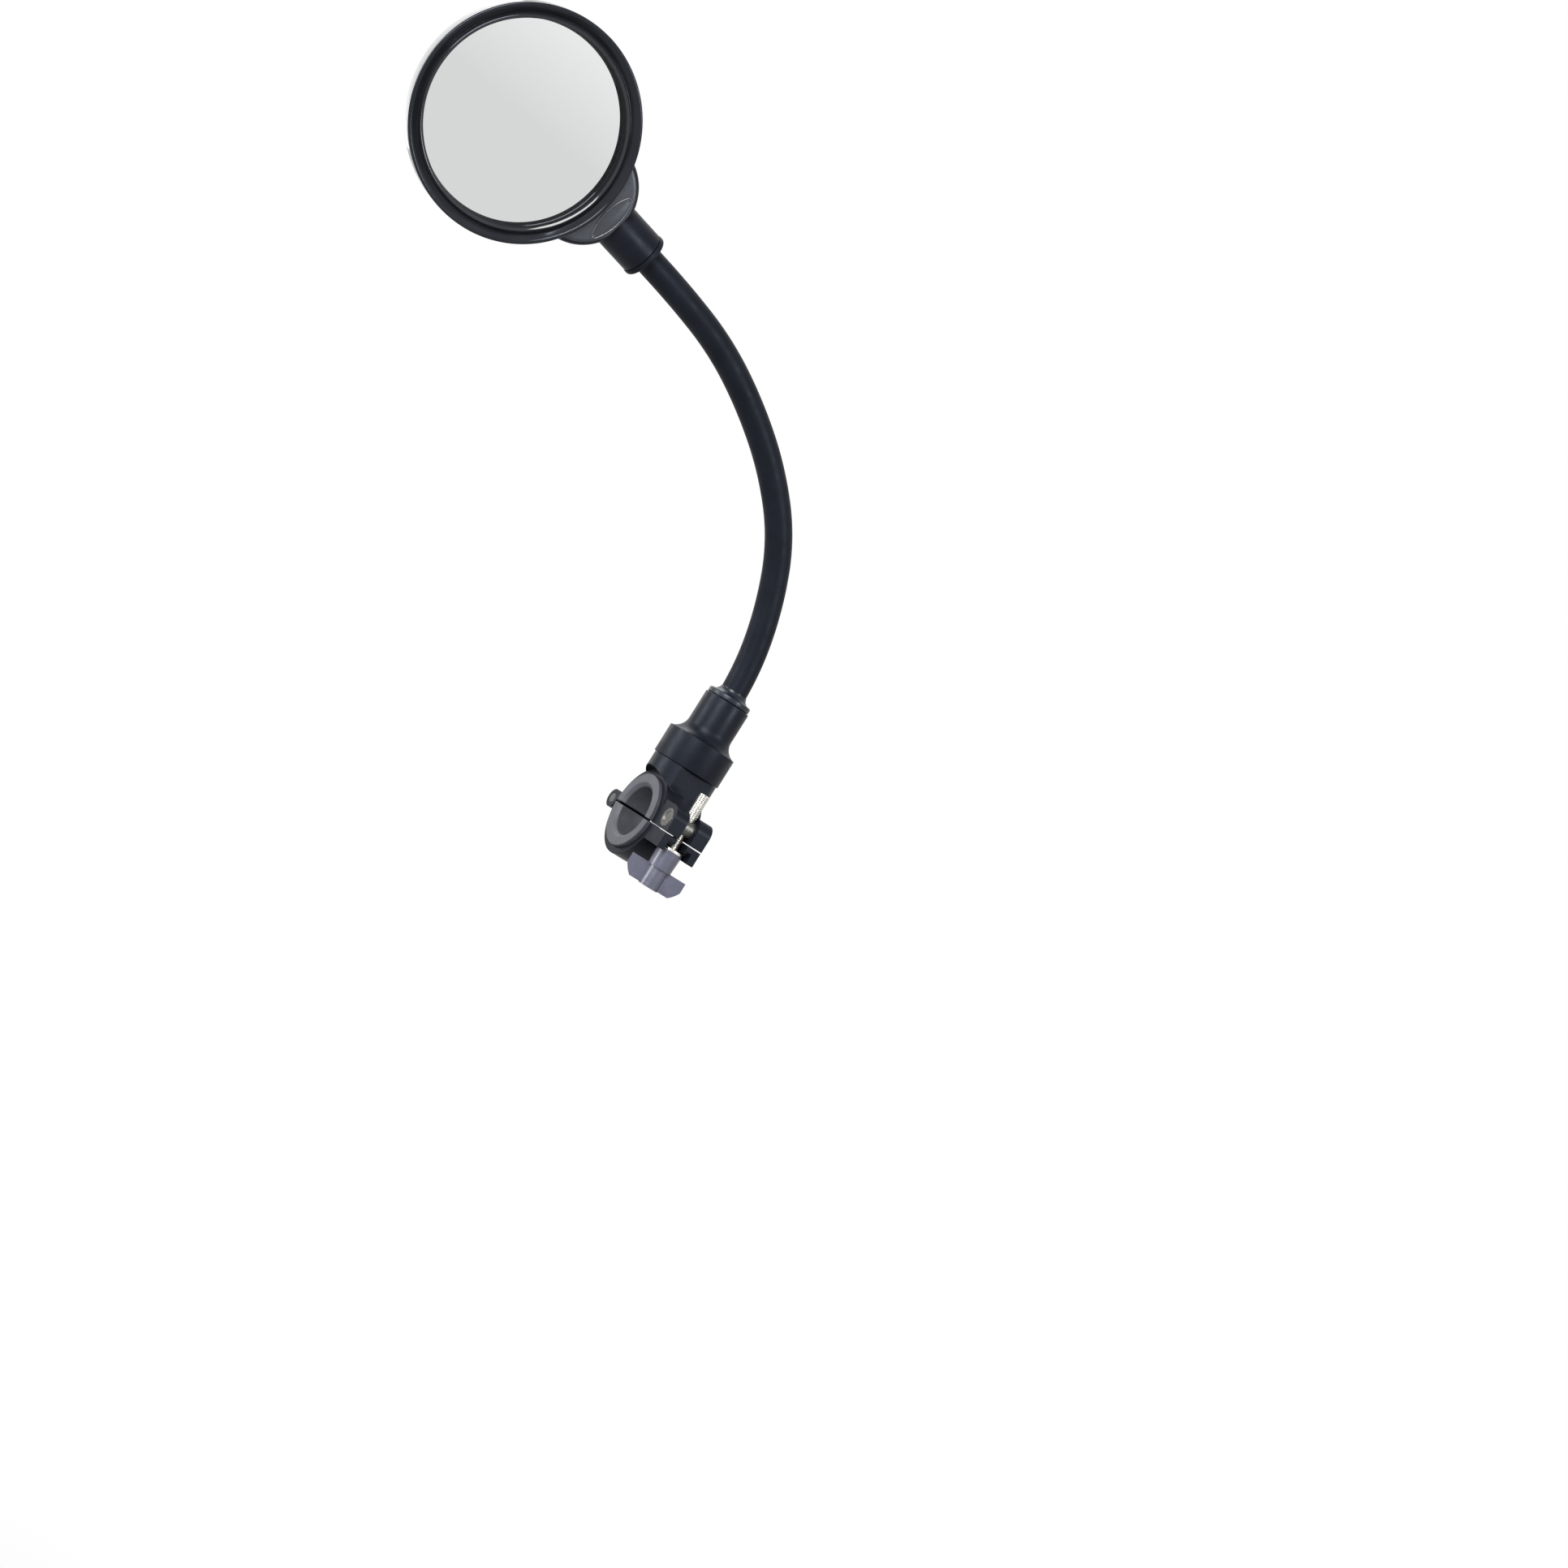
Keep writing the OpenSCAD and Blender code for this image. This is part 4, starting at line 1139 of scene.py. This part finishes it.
class BIKEMIRROR_OT_sleeve(bpy.types.Operator):
    """Sweep the rubber sleeve along the arm, one stretch across each bend"""

    bl_idname = "bike_mirror.sleeve"
    bl_label = "Arm sleeve"
    bl_options = {"REGISTER", "UNDO"}

    # Distance between rings, the fewest steps of a stretch, and the short first and last steps
    ring_pitch, fewest, end_step = 0.0012, 12, 0.00004

    def route(self, low, high):
        """Points along the arm, with a short step at each end that keeps the end square."""
        count = max(self.fewest, round((high - low) / self.ring_pitch))
        stops = [arm_point(low + (high - low) * step / count) for step in range(count + 1)]
        points = [point for point, _ in stops]
        points.insert(1, points[0] + self.end_step * stops[0][1])
        points.insert(-1, points[-1] - self.end_step * stops[-1][1])
        return points

    def execute(self, context):
        arm = settings().arm
        tree = sweep_tree()
        middles = [arm.pitch * (k + 0.5) for k in range(1, LINKS - 1)]
        cuts = [-arm.sleeve_below, *middles, LINKS * arm.pitch + arm.sleeve_beyond]
        for k in range(LINKS - 1):
            piece = route_piece(f"sleeve_stretch_{k + 1}", self.route(cuts[k], cuts[k + 1]))
            tree.apply(piece, Radius=arm.sleeve_radius, Sides=arm.sides, Material=FINISH["matt_rubber"])
            wall = piece.modifiers.new("Wall", "SOLIDIFY")
            wall.thickness = arm.sleeve_wall
            wall.offset = -1.0
            wall.use_quality_normals = True
            settle(piece)
            smooth(piece.data, angle=60.0)
            joint, ahead = arm_point((k + 1) * arm.pitch)
            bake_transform(piece)
            if k == 0:
                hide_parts("arm_sleeve")
        return {"FINISHED"}


class BIKEMIRROR_OT_collar(bpy.types.Operator):
    """Turn the swivel collar and the rubber cap at the arm's foot"""

    bl_idname = "bike_mirror.collar"
    bl_label = "Collar"
    bl_options = {"REGISTER", "UNDO"}

    # Angles in degrees at which the cap's hollow leaves the flange and reaches the sleeve
    cap_flare_start, cap_flare_end = 268, 186

    def execute(self, context):
        size = settings()
        self.collar(size.collar)
        self.cap(size.collar, size.arm)
        return {"FINISHED"}

    def collar(self, sizes):
        """The drum, the hollow flare and the neck, with the groove and the bores inside."""
        foot, top = sizes.foot, sizes.top
        drum, neck = sizes.drum_radius, sizes.neck_radius
        hollow = sizes.flare_radius
        start = math.degrees(sizes.flare_start)
        flare = arc(neck + hollow, sizes.drum_top + hollow, hollow, start, 180, steps=24)
        outside = [
            (sizes.groove_outer, foot), (drum, foot, sizes.foot_edge),
            (drum, sizes.drum_top, sizes.drum_edge), flare[0],
        ]
        inside = [
            flare[-1], (neck, top, sizes.neck_edge),
            (sizes.arm_bore, top), (sizes.arm_bore, sizes.arm_bore_foot),
            (sizes.pivot_bore, sizes.arm_bore_foot), (sizes.pivot_bore, foot),
            (sizes.groove_inner, foot), (sizes.groove_inner, sizes.groove_top),
            (sizes.groove_outer, sizes.groove_top),
        ]
        outline = eased(outside)[:-1] + flare + eased(inside)[1:]
        piece = turned("swivel_collar", outline, Matrix.Identity(4), FINISH["satin_black"], segments=160)
        hand_over(piece, "collar", "black_plastic", "collar")

    def cap(self, sizes, arm):
        """The plug, the flange and the hollow flare up to the sleeve."""
        foot, plug = sizes.cap_foot, sizes.plug_radius
        bore, top = arm.sleeve_radius + PLAY, foot + arm.cap_depth
        hollow = sizes.cap_flare
        centre_x = arm.sleeve_radius + sizes.cap_lip + hollow
        flare = arc(centre_x, top + hollow, hollow, self.cap_flare_start, self.cap_flare_end, steps=14)
        outline = eased([
            (bore, sizes.plug_foot), (plug, sizes.plug_foot), (plug, foot),
            (arm.cap_radius, foot, sizes.cap_low_edge), (arm.cap_radius, top, sizes.cap_high_edge),
            (flare[0][0], top),
        ])
        outline += flare + [(bore, flare[-1][1])]
        piece = turned("arm_foot_cap", outline, Matrix.Identity(4), FINISH["smooth_rubber"])
        hand_over(piece, "collar", "black_rubber", "lower_arm_cap")


class BIKEMIRROR_OT_jaws(bpy.types.Operator):
    """Round the edges of the two jaws and of their shims"""

    bl_idname = "bike_mirror.jaws"
    bl_label = "Jaws and shims"
    bl_options = {"REGISTER", "UNDO"}

    # Each solid's body, finish and slot
    pieces = {
        "upper_jaw": ("clamp", "satin_black", "black_plastic"),
        "lower_jaw": ("lower_jaw", "satin_black", "black_plastic"),
        "upper_shim": ("clamp", "shim_grey", "grey_shim"),
        "lower_shim": ("lower_jaw", "shim_grey", "grey_shim"),
    }

    def execute(self, context):
        edge = settings().clamp.jaw_edge
        for node, (body, finish, slot) in self.pieces.items():
            piece = edge_rounded(f"{node}_moulded", node, edge, FINISH[finish])
            hand_over(piece, body, slot, node)
        return {"FINISHED"}


class BIKEMIRROR_OT_bolt(bpy.types.Operator):
    """Cut the swing bolt's thread and ease the trunnion and washer"""

    bl_idname = "bike_mirror.bolt"
    bl_label = "Swing bolt"
    bl_options = {"REGISTER", "UNDO"}

    # How far sideways the trunnion's end faces look, and how far its plated ends reach inwards
    end_sideways, end_depth = 0.98, 0.001

    # Rings along the thread and points round it
    thread_rows, thread_sides = 440, 49

    def execute(self, context):
        clamp = settings().clamp
        self.rod(clamp)
        self.trunnion(clamp)
        self.washer(clamp)
        return {"FINISHED"}

    def rod(self, clamp):
        """The threaded rod, over the bolt's own length."""
        low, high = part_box("swing_bolt")
        rod = route_piece("swing_bolt_thread", [(0, 0, 0)])
        thread_tree().apply(
            rod,
            Radius=clamp.bolt_radius,
            Pitch=clamp.thread_pitch,
            Depth=clamp.thread_depth,
            Length=high.z - low.z,
            Chamfer=clamp.bolt_chamfer,
            Rows=self.thread_rows,
            Sides=self.thread_sides,
            Material=FINISH["plated_steel"],
        )
        rod.data.materials.pop(index=0)
        rod.data.transform(Matrix.Translation(((low.x + high.x) / 2, (low.y + high.y) / 2, low.z)))
        smooth(rod.data, angle=50.0)
        hand_over(rod, "knob", "steel", "swing_bolt")

    def trunnion(self, clamp):
        """The cross pin, plated on the rims of its ends and darker elsewhere; on its middle that darkness is
        painted shade.
        """
        piece = edge_rounded("trunnion_turned", "trunnion_nut", clamp.trunnion_edge, FINISH["plated_steel"])
        # Painted shade: the darker steel on the middle, between the ears
        piece.data.materials.append(FINISH["burnished_steel"])
        plated_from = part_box("trunnion_nut")[1].x - clamp.trunnion_edge / 2 - self.end_depth
        for side in piece.data.polygons:
            if abs(side.normal.x) > self.end_sideways or abs(side.center.x) < plated_from:
                side.material_index = 1
        hand_over(piece, "trunnion", "steel", "trunnion_nut")

    def washer(self, clamp):
        """The washer between the lower jaw and the knob."""
        low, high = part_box("clamp_washer")
        r, bore, edge = (high.x - low.x) / 2, clamp.bolt_radius + PLAY, clamp.washer_edge
        outline = eased([(r, low.z, edge), (r, high.z, edge), (bore, high.z), (bore, low.z)])
        place = Matrix.Translation((0, (low.y + high.y) / 2, 0))
        piece = turned("clamp_washer_turned", outline, place, FINISH["plated_steel"], segments=96)
        hand_over(piece, "washer", "steel", "clamp_washer")


class BIKEMIRROR_OT_knob(bpy.types.Operator):
    """Round the wing knob's edges"""

    bl_idname = "bike_mirror.knob"
    bl_label = "Wing knob"
    bl_options = {"REGISTER", "UNDO"}

    def execute(self, context):
        edge = settings().clamp.knob_edge
        piece = edge_rounded("wing_knob_moulded", "wing_knob", edge, FINISH["knob_grey"], segments=4)
        hand_over(piece, "knob", "knob_plastic", "wing_knob")
        return {"FINISHED"}


class BIKEMIRROR_OT_stage(bpy.types.Operator):
    """Set the camera, the pale floor and the soft lamps"""

    bl_idname = "bike_mirror.stage"
    bl_label = "Stage"
    bl_options = {"REGISTER", "UNDO"}

    # Each lamp's power by its property, its place and its width and height
    lamps = {
        "key_strip": ("key", (-1.08, -0.91, 0.74), (0.55, 1.1)),
        "fill_softbox": ("fill", (0.5, -1.18, 0.4), (0.36, 0.34)),
        "top_softbox": ("top", (-0.1, 0.8, 1.1), (0.8, 0.8)),
        "side_softbox": ("side", (-1.1, 0.3, 0.15), (0.4, 0.6)),
        "edge_softbox": ("edge", (-0.36, 1.15, 0.38), (0.55, 0.8)),
    }
    lamp_target = (-0.06, 0.0, 0.1)

    # Own light and grey of the floor under the object, which take its shadow
    near_glow, near_grey = 0.6, 0.3

    def execute(self, context):
        look = settings().stage
        self.camera(look)
        self.floor(look)
        self.world(look)
        for name, (source, spot, extent) in self.lamps.items():
            self.lamp(name, spot, extent, getattr(look, source))
        return {"FINISHED"}

    def camera(self, look):
        """The camera at its turn, lift and roll, moved sideways and up by its shift."""
        turn, lift, roll = look.camera_turn, look.camera_lift, look.camera_roll
        back = Vector((math.sin(turn) * math.cos(lift), -math.cos(turn) * math.cos(lift), math.sin(lift)))
        level = Vector((math.cos(turn), math.sin(turn), 0))
        upright = back.cross(level)
        right = math.cos(roll) * level + math.sin(roll) * upright
        up = -math.sin(roll) * level + math.cos(roll) * upright
        data = bpy.data.cameras.new("photo_camera")
        data.lens = look.lens
        data.sensor_width = 36.0
        data.clip_start = 0.01
        camera = bpy.data.objects.new("photo_camera", data)
        place = Matrix((right, up, back)).transposed().to_4x4()
        across, above = look.camera_shift
        place.translation = across * right + above * up + look.camera_reach * back
        camera.matrix_world = place
        bpy.context.scene.collection.objects.link(camera)
        bpy.context.scene.camera = camera

    def seen(self, tree, plain, shown):
        """One shader for what the camera, a mirror or glass sees, and the plain one for all else."""
        path = add_node(tree, "ShaderNodeLightPath").outputs
        either = path["Is Camera Ray"]
        for ray in ("Is Glossy Ray", "Is Transmission Ray"):
            larger = add_node(tree, "ShaderNodeMath", {0: either, 1: path[ray]}, operation="MAXIMUM")
            either = larger.outputs[0]
        mix = add_node(tree, "ShaderNodeMixShader", {0: either, 1: plain.outputs[0], 2: shown.outputs[0]})
        return mix.outputs[0]

    def floor(self, look):
        """A pale floor under the object that fades to white with the distance."""
        half, drop = look.floor_half, look.floor_drop
        corners = [(-half, -half, -drop), (half, -half, -drop), (half, half, -drop), (-half, half, -drop)]
        mesh = bpy.data.meshes.new("pale_floor")
        mesh.from_pydata(corners, [], [(0, 1, 2, 3)])
        paint = FinishMaker("pale_floor")
        paint.colour(paint.noise(size=0.4, detail=2.0), look.floor_dark, look.floor_light).set(Roughness=0.9)
        level = paint.node("ShaderNodeVectorMath", {0: paint.spot, 1: (1.0, 1.0, 0.0)}, operation="MULTIPLY")
        away = paint.node("ShaderNodeVectorMath", {0: level.outputs[0]}, operation="LENGTH")
        fade = paint.spread(away.outputs["Value"], 0.0, 1.0, look.fade_start, look.fade_end)
        white = paint.node("ShaderNodeEmission", {0: (*WHITE, 1.0), 1: 1.0})
        pale = paint.node("ShaderNodeEmission", {0: (*WHITE, 1.0), 1: self.near_glow})
        matt = paint.node("ShaderNodeBsdfDiffuse", {0: (*shade(WHITE, self.near_grey), 1.0)})
        near = paint.node("ShaderNodeAddShader", {0: pale.outputs[0], 1: matt.outputs[0]})
        shown = paint.node("ShaderNodeMixShader", {0: fade, 1: near.outputs[0], 2: white.outputs[0]})
        paint.tree.links.new(self.seen(paint.tree, paint.shader, shown), paint.output.inputs[0])
        floor = new_piece("pale_floor", mesh, paint.material)

    def world(self, look):
        """A white room that lights the object with a plain ambient."""
        world = bpy.data.worlds.new("white_room")
        world.use_nodes = True
        tree = world.node_tree
        tree.nodes.clear()
        output = add_node(tree, "ShaderNodeOutputWorld")
        sky = add_node(tree, "ShaderNodeBackground", {0: (*look.sky, 1.0), 1: look.ambient})
        white = add_node(tree, "ShaderNodeBackground", {0: (*WHITE, 1.0), 1: 1.0})
        tree.links.new(self.seen(tree, sky, white), output.inputs[0])
        bpy.context.scene.world = world

    def lamp(self, name, spot, extent, watts):
        """An area lamp that faces the object."""
        data = bpy.data.lights.new(name, "AREA")
        data.shape = "RECTANGLE"
        data.size, data.size_y = extent
        data.energy = watts
        lamp = bpy.data.objects.new(name, data)
        aim = Vector(self.lamp_target) - Vector(spot)
        lamp.matrix_world = Matrix.Translation(spot) @ aim.to_track_quat("-Z", "Y").to_matrix().to_4x4()
        bpy.context.scene.collection.objects.link(lamp)


OPERATORS = (
    BIKEMIRROR_OT_stage,
    BIKEMIRROR_OT_finishes,
    BIKEMIRROR_OT_glass,
    BIKEMIRROR_OT_shell,
    BIKEMIRROR_OT_rim,
    BIKEMIRROR_OT_oval,
    BIKEMIRROR_OT_neck,
    BIKEMIRROR_OT_sleeve,
    BIKEMIRROR_OT_collar,
    BIKEMIRROR_OT_jaws,
    BIKEMIRROR_OT_bolt,
    BIKEMIRROR_OT_knob,
)


class BIKEMIRROR_PT_panel(bpy.types.Panel):
    """Lists the pieces and their sizes"""

    bl_label = "Bike mirror"
    bl_idname = "BIKEMIRROR_PT_panel"
    bl_space_type = "VIEW_3D"
    bl_region_type = "UI"
    bl_category = "Bike mirror"

    def draw(self, context):
        for operator in OPERATORS:
            self.layout.operator(operator.bl_idname)
        for group in BikeMirrorSettings.__annotations__:
            box = self.layout.box()
            box.label(text=group.capitalize())
            values = getattr(context.scene.bike_mirror, group)
            for name in values.__annotations__:
                box.prop(values, name)


CLASSES = (
    MirrorHeadSizes,
    RimSizes,
    OvalSizes,
    NeckSizes,
    ArmSizes,
    CollarSizes,
    ClampSizes,
    MirrorFinishes,
    StageLook,
    BikeMirrorSettings,
    *OPERATORS,
    BIKEMIRROR_PT_panel,
)


def register():
    """Makes the classes known and hangs their values on the scene."""
    for entry in CLASSES:
        bpy.utils.register_class(entry)
    bpy.types.Scene.bike_mirror = PointerProperty(type=BikeMirrorSettings)


def unregister():
    """Takes the values and the classes away again."""
    del bpy.types.Scene.bike_mirror
    for entry in reversed(CLASSES):
        bpy.utils.unregister_class(entry)


def main():
    """Builds every piece."""
    register()
    bpy.context.scene.view_settings.view_transform = "Standard"
    for operator in OPERATORS:
        group, name = operator.bl_idname.split(".")
        getattr(getattr(bpy.ops, group), name)()


if __name__ == "__main__":
    main()
